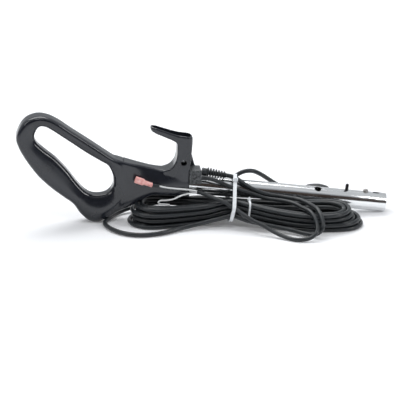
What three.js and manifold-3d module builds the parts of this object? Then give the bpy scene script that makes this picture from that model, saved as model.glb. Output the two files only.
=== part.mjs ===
// Upright vacuum cleaner handle with its chrome tube and its hanked power cord.
// Units are millimetres. +Z is up, X runs along the tube, and the part lies as it
// rests on a table: on the foot of the grip, the far end of the tube and the hank.

import * as THREE from 'three';
import { mergeVertices } from 'three/addons/utils/BufferGeometryUtils.js';
import Module from 'manifold-3d';

const wasm = await Module();
wasm.setup();

const gap = 0.3; // clearance left between pieces that touch
const sliver = 0.02; // edges and steps smaller than this are smoothed away

// Grip housing
const housingWall = 2.6;
const gripHalfDepth = 14;
const footHalfDepth = 8;
const loopSquareness = 2.5; // sections: 2 is an ellipse, higher is squarer
const neckSquareness = 3.6;
const socketHalfDepth = 16;
const socketEndX = -19.6;
const socketInnerX = -80; // the tube goes in as far as this
const hookHalfDepth = 13;
const hookWall = 2.4;
const hookRibX = -24;
const gussetThickness = 3;

// Tube
const tubeDiameter = 25.4;
const tubeWall = 1.3;
const tubeTilt = THREE.MathUtils.degToRad(7.6);
const tubeEndX = 251.4;
const drainHoleDiameter = 10;
const drainHoleAt = 95; // all places along the tube are measured from its far end
const slotLength = 11;
const slotWidth = 5.4;
const slotAt = 14.5;

// Fasteners
const screwDiameter = 3.5;
const screwHeadDiameter = 7;
const screwHeadHeight = 2.4;
const screwPlay = 0.35;
const bossDiameter = 8.6;
const boltDiameter = 4.8;
const boltHeadDiameter = 10;
const boltHeadHeight = 2.6;
const boltAt = 55;
const boltRise = 8.3; // how far the threaded end stands above the tube

// Snap button and its leaf spring
const buttonDiameter = 7;
const buttonRise = 3.4;
const buttonAt = 28.5;
const springThickness = 0.7;
const springWidth = 6;
const springLength = 10; // from the button to the middle of the bend
const collarThickness = 1.2;

// Cord clamp and strain relief
const clampLength = 16.4;
const clampHalfWidth = 16;
const clampBack = 8;
const clampRise = 11.7; // plastic that stands over the tube
const clampSkirt = 5.4; // its lower edge is this far above the tube's axis
const reliefRootDiameter = 12;
const reliefTipDiameter = 9.4;
const reliefRibs = 7;
const reliefRibHeight = 1.5;
const reliefNeck = 7;
const reliefEndX = 31.3;
const reliefSide = -4; // the cord leaves a little in front of the tube's middle
const reliefRise = [1.8, 0.7]; // clearance over the tube at its two ends

// Cords
const cordDiameter = 6;
const leadDiameter = 5.6;
const wireDiameter = 2.3;
const layerPitch = 6.66;
const hankBase = 0.4; // clear height under the lowest layer

// Plug
const plugLength = 27;
const plugWidth = 24;
const plugThickness = 16;
const bladeLength = 16.5;
const bladeWidth = 6.35;
const bladeThickness = 1.5;
const bladeSpacing = 12.7;
const bladeSeat = 6; // how deep the blades stand in the body
const bladeHoleDiameter = 3.2;
const reliefStem = 14; // ribbed sleeve behind the body
const plugRibs = 3;
const plugRibPitch = 4.4;
const plugRibHeight = 0.8;
const plugX = 151;
const plugY = 46.4;
const plugTurn = THREE.MathUtils.degToRad(-8);
const plugDip = THREE.MathUtils.degToRad(6); // it leans on the edge of its face

// Stripped end of the motor lead
const wireSleeveDiameter = 4.8;
const terminalLength = 24.6;
const receptacleFrom = 13.4;
const receptacleWidth = 6.4;
const receptacleThickness = 2.6;

// Cable ties
const tieWidth = 4.8;
const tieThickness = 1.3;
const frontTieWidth = 2.5;
const frontTieThickness = 1.1;

const beyond = 500; // farther out than any piece

const v3 = (x, y, z) => new THREE.Vector3(x, y, z);

// A closed geometry as a solid that can be cut and joined
function toSolid(geometry) {
  const bare = geometry.clone();
  bare.deleteAttribute('normal');
  bare.deleteAttribute('uv');
  const merged = mergeVertices(bare, 1e-4);
  return new wasm.Manifold(new wasm.Mesh({
    numProp: 3,
    vertProperties: new Float32Array(merged.attributes.position.array),
    triVerts: new Uint32Array(merged.index.array),
  }));
}

function toGeometry(solid) {
  const mesh = solid.getMesh();
  const geometry = new THREE.BufferGeometry();
  geometry.setAttribute('position', new THREE.BufferAttribute(mesh.vertProperties, 3));
  geometry.setIndex(new THREE.BufferAttribute(mesh.triVerts, 1));
  geometry.computeVertexNormals();
  return geometry;
}

// The largest piece of a solid, without the crumbs and slivers that a cut may leave
function mainBody(solid) {
  const bodies = solid.simplify(sliver).decompose();
  return bodies.reduce((best, next) => (next.volume() > best.volume() ? next : best));
}

function placed(geometry, matrix) {
  return toSolid(geometry.clone().applyMatrix4(matrix));
}

function boxSolid(x0, x1, y0, y1, z0, z1) {
  const box = new THREE.BoxGeometry(x1 - x0, y1 - y0, z1 - z0);
  return toSolid(box.translate((x0 + x1) / 2, (y0 + y1) / 2, (z0 + z1) / 2));
}

// A cylinder along Y, between two places on it in either order
function crossPin(x, z, diameter, y0, y1, sides = 14) {
  const pin = new THREE.CylinderGeometry(diameter / 2, diameter / 2, Math.abs(y1 - y0), sides);
  return toSolid(pin.translate(x, (y0 + y1) / 2, z));
}

// An outline in the XZ plane made solid from y0 to y1
function plateAlongY(shape, y0, y1) {
  const plate = new THREE.ExtrudeGeometry(shape, { depth: y1 - y0, bevelEnabled: false, curveSegments: 5 });
  return toSolid(plate.rotateX(Math.PI / 2).translate(0, y1, 0));
}

// Skins a row of sections that all have the same number of points
function loft(sections, closed) {
  const count = sections[0].length;
  const positions = [];
  const index = [];
  sections.forEach((section) => section.forEach((p) => positions.push(p.x, p.y, p.z)));
  const spans = closed ? sections.length : sections.length - 1;
  for (let i = 0; i < spans; i += 1) {
    const a = i * count;
    const b = ((i + 1) % sections.length) * count;
    for (let j = 0; j < count; j += 1) {
      const k = (j + 1) % count;
      index.push(a + j, b + k, b + j);
      index.push(a + j, a + k, b + k);
    }
  }
  if (!closed) {
    for (let j = 1; j < count - 1; j += 1) {
      const last = (sections.length - 1) * count;
      index.push(0, j + 1, j);
      index.push(last, last + j, last + j + 1);
    }
  }
  const geometry = new THREE.BufferGeometry();
  geometry.setAttribute('position', new THREE.Float32BufferAttribute(positions, 3));
  geometry.setIndex(index);
  return geometry;
}

// A point of a rounded square that reaches 1 each way: 2 is a circle, higher is squarer
function roundedSquare(angle, squareness) {
  return [Math.cos(angle), Math.sin(angle)].map((v) => Math.sign(v) * Math.abs(v) ** (2 / squareness));
}

// One rounded section of the grip, between two points of its side view
function gripSection({ outer, inner, halfDepth }, squareness, wall, sides) {
  const centre = outer.clone().add(inner).multiplyScalar(0.5);
  const arm = outer.clone().sub(inner);
  const reach = arm.length() / 2 - wall;
  arm.normalize();
  const points = [];
  for (let i = 0; i < sides; i += 1) {
    const angle = (i / sides) * Math.PI * 2;
    const [along, across] = roundedSquare(angle, squareness);
    const place = arm.clone().multiplyScalar(along * reach);
    points.push(v3(centre.x + place.x, across * (halfDepth - wall), centre.y + place.y));
  }
  return points;
}

// Side view of the grip loop: outer edge and finger opening, as pairs of points
const loopPairs = [
  [-251.4, 124, -229.5, 124],
  [-248.5, 110.5, -226, 114.5],
  [-239, 92, -214, 103.2],
  [-222, 67.8, -199.5, 93],
  [-204, 50, -184, 74.6],
  [-189, 38, -173, 57],
  [-176.5, 28, -163.2, 46.6],
  [-166, 13, -152.8, 40.6],
  [-152, 1.6, -142, 38.8],
  [-136, 3.5, -130.4, 41.4],
  [-116, 19, -122.5, 50.4],
  [-101, 44, -121.3, 62],
  [-101, 66, -124.2, 73],
  [-107, 83, -129, 81.4],
  [-120, 91, -138, 87.2],
  [-146.5, 110.2, -157.5, 99.9],
  [-162.5, 121.6, -173.2, 111.4],
  [-177.8, 132.4, -188.8, 122.8],
  [-193.5, 144, -204, 133.6],
  [-206, 150.8, -212, 138.2],
  [-221.5, 154, -219.8, 138.6],
  [-239.6, 147.2, -227, 133.2],
];

// Side view of the neck, from the socket to the loop: top and bottom edges, half depth
const neckPairs = [
  [socketEndX, 72, socketEndX, 32.6, socketHalfDepth],
  [-38, 74, -38, 35.8, socketHalfDepth],
  [-53, 73.4, -54, 38.8, gripHalfDepth + 1.6],
  [-67, 75.4, -69, 41.2, gripHalfDepth + 1],
  [-85, 80, -86, 36.4, gripHalfDepth + 0.3],
  [-104, 85.4, -103, 26.6, gripHalfDepth],
  [-118, 90.2, -117, 18.4, gripHalfDepth - 1.2],
];

function smoothPairs(pairs, closed, steps) {
  const outer = new THREE.CatmullRomCurve3(pairs.map((p) => v3(p[0], 0, p[1])), closed, 'centripetal');
  const inner = new THREE.CatmullRomCurve3(pairs.map((p) => v3(p[2], 0, p[3])), closed, 'centripetal');
  const depth = new THREE.CatmullRomCurve3(pairs.map((p, i) => v3(i, p[4] ?? gripHalfDepth, 0)), closed);
  const list = [];
  for (let i = 0; i < steps; i += 1) {
    const t = closed ? i / steps : i / (steps - 1);
    const o = outer.getPoint(t);
    const n = inner.getPoint(t);
    list.push({
      outer: new THREE.Vector2(o.x, o.z),
      inner: new THREE.Vector2(n.x, n.z),
      halfDepth: depth.getPoint(t).y,
    });
  }
  return list;
}

function gripLoop(wall, steps, sides) {
  const stations = smoothPairs(loopPairs, true, steps);
  const sections = stations.map((station) => gripSection(station, loopSquareness, wall, sides));
  return toSolid(loft(sections, true));
}

function gripNeck(wall, steps, sides) {
  const stations = smoothPairs(neckPairs, false, steps);
  const sections = stations.map((station) => gripSection(station, neckSquareness, wall, sides));
  return toSolid(loft(sections, false));
}

// Flat foot under the grip, between the loop and the web
function footBlock() {
  const shape = new THREE.Shape();
  shape.moveTo(-155, 9);
  shape.quadraticCurveTo(-153.5, 0.6, -149, 0);
  shape.lineTo(-139.5, 0);
  shape.quadraticCurveTo(-136.4, 0.5, -135.4, 5);
  shape.lineTo(-132, 14);
  shape.lineTo(-150, 20);
  shape.closePath();
  return plateAlongY(shape, -footHalfDepth, footHalfDepth);
}

// Side view of the cord hook: its arm reaches back over the neck
function hookOutline(inset) {
  const shape = new THREE.Shape();
  const top = inset > 0 ? 12 : 0; // the channel is open along the top
  shape.moveTo(-70.6 + inset, 133.2 + top);
  shape.quadraticCurveTo(-71.2 + inset, 129.6 + inset, -65.4, 126.4 + inset);
  shape.quadraticCurveTo(-49, 118.6 + inset, -36.6 + inset, 110.6 + inset);
  shape.lineTo(-36 + inset, 101);
  shape.bezierCurveTo(-36.2 + inset, 88, -43, 77, -57 + inset, 72.4 - inset);
  shape.lineTo(-52, 60);
  shape.lineTo(socketEndX - inset, 60);
  shape.lineTo(-16.6 - inset, 92);
  shape.lineTo(-14.2 - inset, 116.6 + top);
  shape.quadraticCurveTo(-36, 119.6 + top, -53, 126.6 + top);
  shape.closePath();
  return shape;
}

function hookBlock() {
  return plateAlongY(hookOutline(0), -hookHalfDepth, hookHalfDepth);
}

// The hollow of the hook, with one cross rib left standing in it
function hookChannel() {
  const floor = boxSolid(-90, 0, -30, 30, 84, 160);
  const hollow = plateAlongY(hookOutline(hookWall), -hookHalfDepth + hookWall, hookHalfDepth - hookWall);
  const rib = boxSolid(hookRibX - 1, hookRibX + 1, -hookHalfDepth, hookHalfDepth, 60, 112);
  return hollow.intersect(floor).subtract(rib);
}

const tubeRadius = tubeDiameter / 2;
const tubeInside = tubeRadius - tubeWall;
const tubeEndZ = tubeRadius * Math.cos(tubeTilt);
const tubeLength = (tubeEndX - socketInnerX) / Math.cos(tubeTilt);

// Height of the tube's axis above the table at a place along X
function tubeAxisZ(x) {
  return tubeEndZ + (tubeEndX - x) * Math.tan(tubeTilt);
}

// A place round the tube: degrees from straight up, towards the front, and distance from its skin
function aroundTube(x, degrees, distance) {
  const angle = THREE.MathUtils.degToRad(degrees);
  const reach = tubeRadius + distance;
  return v3(x, -Math.sin(angle) * reach, tubeAxisZ(x) + Math.cos(angle) * reach);
}

// The frame that the tube and its fittings share: far end at the origin, +X out of the end
const tubeFrame = new THREE.Matrix4().makeRotationY(tubeTilt)
  .setPosition(tubeEndX - tubeRadius * Math.sin(tubeTilt), 0, tubeEndZ);

function alongTube(diameter, from, to, sides = 32) {
  const bar = new THREE.CylinderGeometry(diameter / 2, diameter / 2, to - from, sides);
  return bar.rotateZ(Math.PI / 2).translate((from + to) / 2, 0, 0);
}

// Housing screws, driven from the back except the one in the hook's stem
const housingScrews = [
  { x: -236, z: 122, fromFront: false },
  { x: -182, z: 50, fromFront: false },
  { x: -143, z: 24, fromFront: false },
  { x: -104, z: 55, fromFront: false },
  { x: -26.5, z: 82.5, fromFront: true },
];
const screwGrip = 3; // plastic between the screw's head and the parting plane

function screwSpan(screw) {
  const side = screw.fromFront ? -1 : 1;
  return { side, seat: side * screwGrip, tip: -side * 9 };
}

function screwSolid(screw) {
  const { side, seat, tip } = screwSpan(screw);
  const shank = crossPin(screw.x, screw.z, screwDiameter, seat, tip, 12);
  const head = crossPin(screw.x, screw.z, screwHeadDiameter, seat, seat + side * screwHeadHeight);
  return head.add(shank);
}

// The hole for a screw: a pilot for its shank and a well for its head
function screwHole(screw) {
  const { side, seat, tip } = screwSpan(screw);
  const pilot = crossPin(screw.x, screw.z, screwDiameter + 2 * screwPlay, seat, tip - side, 12);
  const wellStart = seat - side * gap;
  const well = crossPin(screw.x, screw.z, screwHeadDiameter + 2 * screwPlay, wellStart, side * beyond);
  return pilot.add(well);
}

function screwBoss(screw) {
  return crossPin(screw.x, screw.z, bossDiameter, -beyond, beyond, 12);
}

// Screw through the back of the socket into the tube
const socketScrewX = -48;
const socketScrewLength = 10;

function socketScrewPlace() {
  return { x: socketScrewX, z: tubeAxisZ(socketScrewX) };
}

function socketScrew() {
  const { x, z } = socketScrewPlace();
  const seat = tubeRadius + gap;
  const head = crossPin(x, z, screwHeadDiameter, seat, seat + screwHeadHeight);
  const shank = crossPin(x, z, screwDiameter, seat - socketScrewLength, seat, 12);
  return head.add(shank);
}

function socketScrewHole(play) {
  const { x, z } = socketScrewPlace();
  const shank = crossPin(x, z, screwDiameter + 2 * play, 0, socketHalfDepth + 4, 12);
  const well = crossPin(x, z, screwHeadDiameter + 2 * play, tubeRadius, socketHalfDepth + 4);
  return shank.add(well);
}

// Space that the cord clamp fills at the socket's mouth
const clampX0 = socketEndX + gap;
const clampX1 = clampX0 + clampLength;
const clampAxisZ = tubeAxisZ((clampX0 + clampX1) / 2);
const clampTopZ = clampAxisZ + tubeRadius + clampRise;
const clampBottomZ = clampAxisZ + clampSkirt;

function housing() {
  const outside = gripLoop(0, 44, 16).add(gripNeck(0, 10, 20)).add(footBlock()).add(hookBlock());
  const solidSocket = boxSolid(socketInnerX - housingWall * 3, beyond, -beyond, beyond, -beyond, beyond);
  const hollow = gripLoop(housingWall, 30, 8).add(gripNeck(housingWall, 8, 8)).subtract(solidSocket);
  let body = outside.subtract(hollow).subtract(hookChannel());
  housingScrews.forEach((screw) => {
    body = body.add(screwBoss(screw).intersect(outside));
  });
  housingScrews.forEach((screw) => {
    body = body.subtract(screwHole(screw));
  });
  const bore = placed(alongTube(tubeDiameter + 2 * gap, -tubeLength - gap, 0), tubeFrame);
  const screwWay = socketScrewHole(screwPlay);
  const mouth = boxSolid(socketEndX, beyond, -beyond, beyond, -beyond, clampTopZ + 2);
  return body.subtract(bore).subtract(screwWay).subtract(mouth);
}

// Thin gusset behind the stem, and the tab that closes the back of the clamp
function backGusset() {
  const shape = new THREE.Shape();
  shape.moveTo(socketEndX - 4, clampTopZ - 10);
  shape.lineTo(clampX1, clampTopZ - 10);
  shape.lineTo(clampX1, clampTopZ - 1.5);
  shape.lineTo(clampX1 - 6.7, clampTopZ - 0.8);
  shape.lineTo(socketEndX + 4.2, clampTopZ + 23);
  shape.lineTo(socketEndX - 4, clampTopZ + 23);
  shape.closePath();
  return plateAlongY(shape, clampBack + gap, clampBack + gap + gussetThickness);
}

function halves() {
  const body = housing();
  const front = mainBody(body.intersect(boxSolid(-beyond, beyond, -beyond, -gap / 2, -beyond, beyond)));
  const bore = placed(alongTube(tubeDiameter + 2 * gap, -tubeLength, 0), tubeFrame);
  const gusset = backGusset().subtract(bore).subtract(hookChannel());
  const backSpace = boxSolid(-beyond, beyond, gap / 2, beyond, -beyond, beyond);
  const back = mainBody(body.add(gusset).intersect(backSpace));
  return { front, back };
}

// Tube with its drain hole, end slot and the holes of its bolt, button and screw
function tube() {
  const bar = toSolid(alongTube(tubeDiameter, -tubeLength, 0, 40));
  const bore = toSolid(alongTube(tubeDiameter - 2 * tubeWall, -tubeLength - 1, 1, 40));
  const upright = (x, diameter, z0, z1) => {
    const pin = new THREE.CylinderGeometry(diameter / 2, diameter / 2, z1 - z0, 24);
    return toSolid(pin.rotateX(Math.PI / 2).translate(x, 0, (z0 + z1) / 2));
  };
  const slotHalf = (slotLength - slotWidth) / 2;
  const slot = boxSolid(-slotAt - slotHalf, -slotAt + slotHalf, -slotWidth / 2, slotWidth / 2, 5, 20)
    .add(upright(-slotAt - slotHalf, slotWidth, 5, 20))
    .add(upright(-slotAt + slotHalf, slotWidth, 5, 20));
  const toTube = tubeFrame.clone().invert();
  const screwWay = placed(toGeometry(socketScrewHole(screwPlay)), toTube);
  return bar.subtract(bore)
    .subtract(upright(-drainHoleAt, drainHoleDiameter, 5, 20))
    .subtract(slot)
    .subtract(upright(-boltAt, boltDiameter + 2 * gap, -20, 20))
    .subtract(upright(-buttonAt, buttonDiameter + 2 * gap, 0, 20))
    .subtract(screwWay);
}

// Bolt that stands through the tube, head below and threaded end above
function hitchBolt() {
  const half = tubeRadius + gap;
  const profile = [
    new THREE.Vector2(0, -half - boltHeadHeight),
    new THREE.Vector2(boltHeadDiameter * 0.36, -half - boltHeadHeight * 0.8),
    new THREE.Vector2(boltHeadDiameter / 2, -half),
    new THREE.Vector2(boltDiameter / 2, -half),
    new THREE.Vector2(boltDiameter / 2, tubeRadius + boltRise - 1),
    new THREE.Vector2(boltDiameter / 2 - 0.9, tubeRadius + boltRise),
    new THREE.Vector2(0, tubeRadius + boltRise),
  ];
  return new THREE.LatheGeometry(profile, 20).rotateX(Math.PI / 2).translate(-boltAt, 0, 0);
}

// Sprung button: a domed pin with a collar that stops it inside the tube
const collarRadius = buttonDiameter / 2 + 0.9;
const collarTop = Math.sqrt(tubeInside ** 2 - collarRadius ** 2) - gap;

function snapButton() {
  const profile = [
    new THREE.Vector2(0, collarTop - collarThickness),
    new THREE.Vector2(collarRadius, collarTop - collarThickness),
    new THREE.Vector2(collarRadius, collarTop),
    new THREE.Vector2(buttonDiameter / 2, collarTop),
    new THREE.Vector2(buttonDiameter / 2, tubeRadius + buttonRise * 0.45),
    new THREE.Vector2(buttonDiameter * 0.4, tubeRadius + buttonRise * 0.8),
    new THREE.Vector2(buttonDiameter * 0.22, tubeRadius + buttonRise),
    new THREE.Vector2(0, tubeRadius + buttonRise),
  ];
  return new THREE.LatheGeometry(profile, 20).rotateX(Math.PI / 2).translate(-buttonAt, 0, 0);
}

// Leaf spring bent like a hairpin: one leaf under the button, the other on the tube's floor
function buttonSpring() {
  const top = collarTop - collarThickness - gap;
  const bottom = -Math.sqrt(tubeInside ** 2 - (springWidth / 2) ** 2) + gap;
  const x0 = -buttonAt + buttonDiameter / 2;
  const x1 = -buttonAt - springLength;
  const bend = (top - bottom) / 2;
  const shape = new THREE.Shape();
  shape.moveTo(x0, top);
  shape.lineTo(x1, top);
  shape.absarc(x1, (top + bottom) / 2, bend, Math.PI / 2, Math.PI * 1.5, false);
  shape.lineTo(x0 - 2, bottom);
  shape.lineTo(x0 - 2, bottom + springThickness);
  shape.lineTo(x1, bottom + springThickness);
  shape.absarc(x1, (top + bottom) / 2, bend - springThickness, Math.PI * 1.5, Math.PI / 2, true);
  shape.lineTo(x0, top - springThickness);
  shape.closePath();
  return plateAlongY(shape, -springWidth / 2, springWidth / 2);
}

// Saddle that clamps the cord at the socket's mouth, over the tube
function reliefPlace(x, diameter, rise) {
  const skin = tubeAxisZ(x) + tubeRadius / Math.cos(tubeTilt);
  return v3(x, reliefSide, skin + diameter / 2 + rise);
}
const reliefStart = reliefPlace(clampX1 + 1.5, reliefRootDiameter, reliefRise[0]);
const reliefEnd = reliefPlace(reliefEndX, reliefTipDiameter, reliefRise[1]);

function cordClamp() {
  const shape = new THREE.Shape();
  shape.moveTo(clampX0, clampBottomZ);
  shape.lineTo(clampX1, clampBottomZ);
  shape.lineTo(clampX1, clampTopZ - 1.2);
  shape.lineTo(clampX1 - 1.2, clampTopZ);
  shape.lineTo(clampX0, clampTopZ);
  shape.closePath();
  const block = plateAlongY(shape, -clampHalfWidth, clampBack);
  const saddle = placed(alongTube(tubeDiameter + 2 * gap, -tubeLength, 0), tubeFrame);
  const panel = boxSolid(
    clampX0 + 2.6, clampX1 - 2.6, -beyond, -clampHalfWidth + 0.8, clampBottomZ + 3, clampTopZ - 4,
  );
  return block.subtract(saddle).subtract(panel);
}

// Ribbed rubber sleeve round the cord where it leaves the clamp
function strainRelief() {
  const length = reliefStart.distanceTo(reliefEnd);
  const ribbed = length - reliefNeck;
  const pitch = ribbed / reliefRibs;
  const profile = [new THREE.Vector2(0, 0), new THREE.Vector2(reliefRootDiameter / 2 - 0.6, 0)];
  profile.push(new THREE.Vector2(reliefRootDiameter / 2 - 0.6, reliefNeck - pitch * 0.3));
  for (let i = 0; i < reliefRibs; i += 1) {
    const t = i / (reliefRibs - 1);
    const radius = THREE.MathUtils.lerp(reliefRootDiameter, reliefTipDiameter, t) / 2;
    const y = reliefNeck + i * pitch;
    profile.push(new THREE.Vector2(radius, y));
    profile.push(new THREE.Vector2(radius, y + pitch * 0.5));
    profile.push(new THREE.Vector2(radius - reliefRibHeight, y + pitch * 0.6));
    profile.push(new THREE.Vector2(radius - reliefRibHeight, y + pitch * 0.95));
  }
  profile.push(new THREE.Vector2(0, length - pitch * 0.05));
  const sleeve = new THREE.LatheGeometry(profile, 14);
  const ahead = reliefEnd.clone().sub(reliefStart).normalize();
  const turn = new THREE.Quaternion().setFromUnitVectors(v3(0, 1, 0), ahead);
  return sleeve.applyQuaternion(turn).translate(reliefStart.x, reliefStart.y, reliefStart.z);
}

// A round tube along a curve
function cordAlong(route, diameter, steps, sides) {
  const shape = new THREE.Shape();
  for (let i = 0; i < sides; i += 1) {
    const angle = (i / sides) * Math.PI * 2;
    const x = (Math.cos(angle) * diameter) / 2;
    const y = (Math.sin(angle) * diameter) / 2;
    if (i === 0) shape.moveTo(x, y);
    else shape.lineTo(x, y);
  }
  shape.closePath();
  const path = new THREE.CatmullRomCurve3(route, false, 'centripetal');
  return new THREE.ExtrudeGeometry(shape, { steps, bevelEnabled: false, extrudePath: path });
}

// Plan of the hank at places along X: its middle line, the half width of its innermost loop
// and the pitch of its loops. The ties draw it together and lift it at the tube, front first.
const hankStations = [
  { x: -70, y: -14, half: 18, pitch: 7.2, lift: 0, slope: 0 },
  { x: 0, y: -16, half: 9, pitch: 7.4, lift: 1.6, slope: -0.06 },
  { x: 36, y: -22, half: 3.5, pitch: 7, lift: 6.6, slope: -0.26 },
  { x: 60, y: -31, half: 5.5, pitch: 7.8, lift: 5, slope: -0.18 },
  { x: 92, y: -39, half: 11, pitch: 7.4, lift: 2, slope: -0.06 },
  { x: 132, y: -46, half: 16.5, pitch: 7, lift: 0, slope: 0 },
  { x: 183, y: -48, half: 18, pitch: 6.9, lift: 0, slope: 0 },
];
const hankLeft = hankStations[0];
const hankRight = hankStations[hankStations.length - 1];
const stepsPerLoop = 24;
const endSteps = 6; // steps round each end of a loop
const hankFirstStep = 21;
const hankLastStep = 213;
const hankTurnSteps = [71, 119, 167]; // where the winding reverses and climbs down a layer
const climbSteps = 12;
const leftSetback = 2; // each layer ends this much short of the one below it
const rightSetback = 1.2;

// The stations that one loop passes: out along +Y, round the right end, back along -Y,
// round the left end, and home
const endTurn = (side, end) => Array.from({ length: endSteps }, (_, i) => (
  { end, side, angle: (i / endSteps) * Math.PI }
));
const loopOrder = [
  { station: 4, side: 1 },
  { station: 5, side: 1 },
  ...endTurn(1, hankRight),
  ...[6, 5, 4, 3, 2, 1].map((station) => ({ station, side: -1 })),
  ...endTurn(-1, hankLeft),
  ...[0, 1, 2, 3].map((station) => ({ station, side: 1 })),
];

function hankPoint(step) {
  const [inner, outer, innerAgain] = hankTurnSteps;
  const nested = Math.abs(step - (step < outer ? inner : innerAgain)) / stepsPerLoop;
  const climbed = hankTurnSteps.map((at) => THREE.MathUtils.clamp((step - at) / climbSteps + 0.5, 0, 1));
  const layer = hankTurnSteps.length - climbed.reduce((sum, share) => sum + share, 0);
  const place = loopOrder[step % stepsPerLoop];
  const at = place.end ?? hankStations[place.station];
  const reach = at.half + nested * at.pitch;
  const across = place.side * reach * Math.cos(place.angle ?? 0);
  const along = place.side * reach * Math.sin(place.angle ?? 0);
  let setback = 0;
  if (at === hankLeft) setback = leftSetback * layer;
  if (at === hankRight) setback = -rightSetback * layer;
  const z = cordDiameter / 2 + hankBase + layer * layerPitch + at.lift + at.slope * across;
  return v3(at.x + setback + along, at.y + across, z);
}

// The hank's middle line, with a straight piece one diameter long at each end
function hankPoints() {
  const points = [];
  for (let step = hankFirstStep; step <= hankLastStep; step += 1) points.push(hankPoint(step));
  const count = points.length;
  const lead = points[0].clone().sub(points[1]).setLength(cordDiameter);
  const tail = points[count - 1].clone().sub(points[count - 2]).setLength(cordDiameter);
  return [points[0].clone().add(lead), ...points, points[count - 1].clone().add(tail)];
}

// A round tube whose sections stand at the given points
function tubeThrough(points, diameter, sides) {
  const sections = points.map((p, i) => {
    const before = points[Math.max(i - 1, 0)];
    const after = points[Math.min(i + 1, points.length - 1)];
    const ahead = after.clone().sub(before).normalize();
    const side = v3(0, 0, 1).cross(ahead).normalize();
    const up = ahead.clone().cross(side);
    return Array.from({ length: sides }, (_, j) => {
      const angle = (j / sides) * Math.PI * 2;
      return p.clone()
        .addScaledVector(side, (Math.cos(angle) * diameter) / 2)
        .addScaledVector(up, (Math.sin(angle) * diameter) / 2);
    });
  });
  return loft(sections, false);
}

// Prints the least gap between the hank and itself, from points along its middle
function reportLeastGap(points) {
  const path = new THREE.CurvePath();
  for (let i = 1; i < points.length; i += 1) path.add(new THREE.LineCurve3(points[i - 1], points[i]));
  const spacing = cordDiameter / 2;
  const fine = path.getSpacedPoints(Math.round(path.getLength() / spacing));
  let least = Infinity;
  for (let i = 0; i < fine.length; i += 1) {
    for (let j = i + 6; j < fine.length; j += 1) {
      least = Math.min(least, fine[i].distanceTo(fine[j]) - cordDiameter);
    }
  }
  console.log(`hank ${(path.getLength() / 1000).toFixed(2)} m, least gap to itself ${least.toFixed(2)} mm`);
}

const hankLine = hankPoints();

// The place just off an end of the hank, and one diameter further on
function offHank(end, next) {
  const out = end.clone().sub(next).normalize();
  const near = end.clone().addScaledVector(out, gap);
  return [near, near.clone().addScaledVector(out, cordDiameter)];
}
const [hankFeed, hankFeedNext] = offHank(hankLine[0], hankLine[1]);
const [hankLeave, hankLeaveNext] = offHank(hankLine[hankLine.length - 1], hankLine[hankLine.length - 2]);

// A place on the axis of the strain relief, some way off its end
function offRelief(distance) {
  return reliefEnd.clone().add(reliefEnd.clone().sub(reliefStart).setLength(distance));
}

// Plug standing on its edge behind the tube, its face turned a little down
const plugZ = hankBase + (plugWidth / 2) * Math.cos(plugDip) + plugLength * Math.sin(plugDip);
const plugFrame = new THREE.Matrix4().makeRotationZ(plugTurn)
  .multiply(new THREE.Matrix4().makeRotationY(plugDip))
  .setPosition(plugX, plugY, plugZ);
const plugTail = v3(-reliefStem - gap, 0, 0).applyMatrix4(plugFrame);
const plugTailNext = v3(-reliefStem - gap - cordDiameter, 0, 0).applyMatrix4(plugFrame);

// The cut end of the motor lead, and the sleeve and terminal on its upper wire
const motorLeadEnd = v3(-9.6, -20.5, 43.4);
const motorLeadEndNext = v3(-3.8, -21.6, 42.4);
const wireSleeveStart = v3(-60.5, -19.4, 53.4);
const wireSleeveEnd = v3(-69.3, -20, 55);
const terminalStart = v3(-70.1, -20.05, 55.3);
const terminalTip = v3(-92.6, -20.4, 64.2);

// Routes of the free stretches
const leadInRoute = [
  offRelief(gap),
  offRelief(gap + cordDiameter),
  aroundTube(45, 23.3, 5),
  aroundTube(54, 46.6, 5.2),
  aroundTube(66, 68.4, 7.7),
  v3(84, -22.8, 38.2),
  v3(108, -26.5, 34.6),
  v3(128, -37, 33.6),
  v3(141, -55, 32),
  v3(147.5, -71, 31.4),
  v3(151, -85, 26),
  v3(152.4, -93.5, 19),
  v3(150.4, -97, 12),
  v3(142.5, -96, 5.4),
  v3(130, -90, 4.4),
  v3(111, -79.5, 6.5),
  v3(92.7, -71.5, 8.6),
  v3(72, -63, 10.8),
  v3(55, -56.2, 13.2),
  v3(36, -46.8, 16.8),
  v3(15, -46.6, 13),
  v3(-6, -47, 8.4),
  v3(-35.6, -54.5, 4.6),
  v3(-64.5, -68, 3.6),
  v3(-92, -71, 3.6),
  v3(-111.5, -62.5, 3.6),
  v3(-128, -43, 3.6),
  v3(-134.6, -21, 3.6),
  v3(-127.6, -3, 3.6),
  v3(-116, 15.5, 3.8),
  v3(-98, 27, 6),
  v3(-75, 28.5, 10),
  v3(-48, 25.5, 15),
  v3(-26, 18.5, 20.5),
  hankFeedNext,
  hankFeed,
];
const tailRoute = [
  hankLeave,
  hankLeaveNext,
  v3(24, 8, 6.2),
  v3(33, 15, 14),
  v3(37, 20, 26),
  aroundTube(39.5, -95.5, 7.2),
  aroundTube(44.5, -62.4, 6.3),
  aroundTube(51, -40.3, 8.9),
  aroundTube(60, -31.4, 12.3),
  v3(70, 15.4, 58.4),
  v3(80, 21, 52.2),
  v3(90.5, 28.2, 43.2),
  v3(101.5, 36.5, 33),
  v3(111.5, 42.5, 25.4),
  v3(121.5, 47.2, 20),
  plugTailNext,
  plugTail,
];
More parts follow.
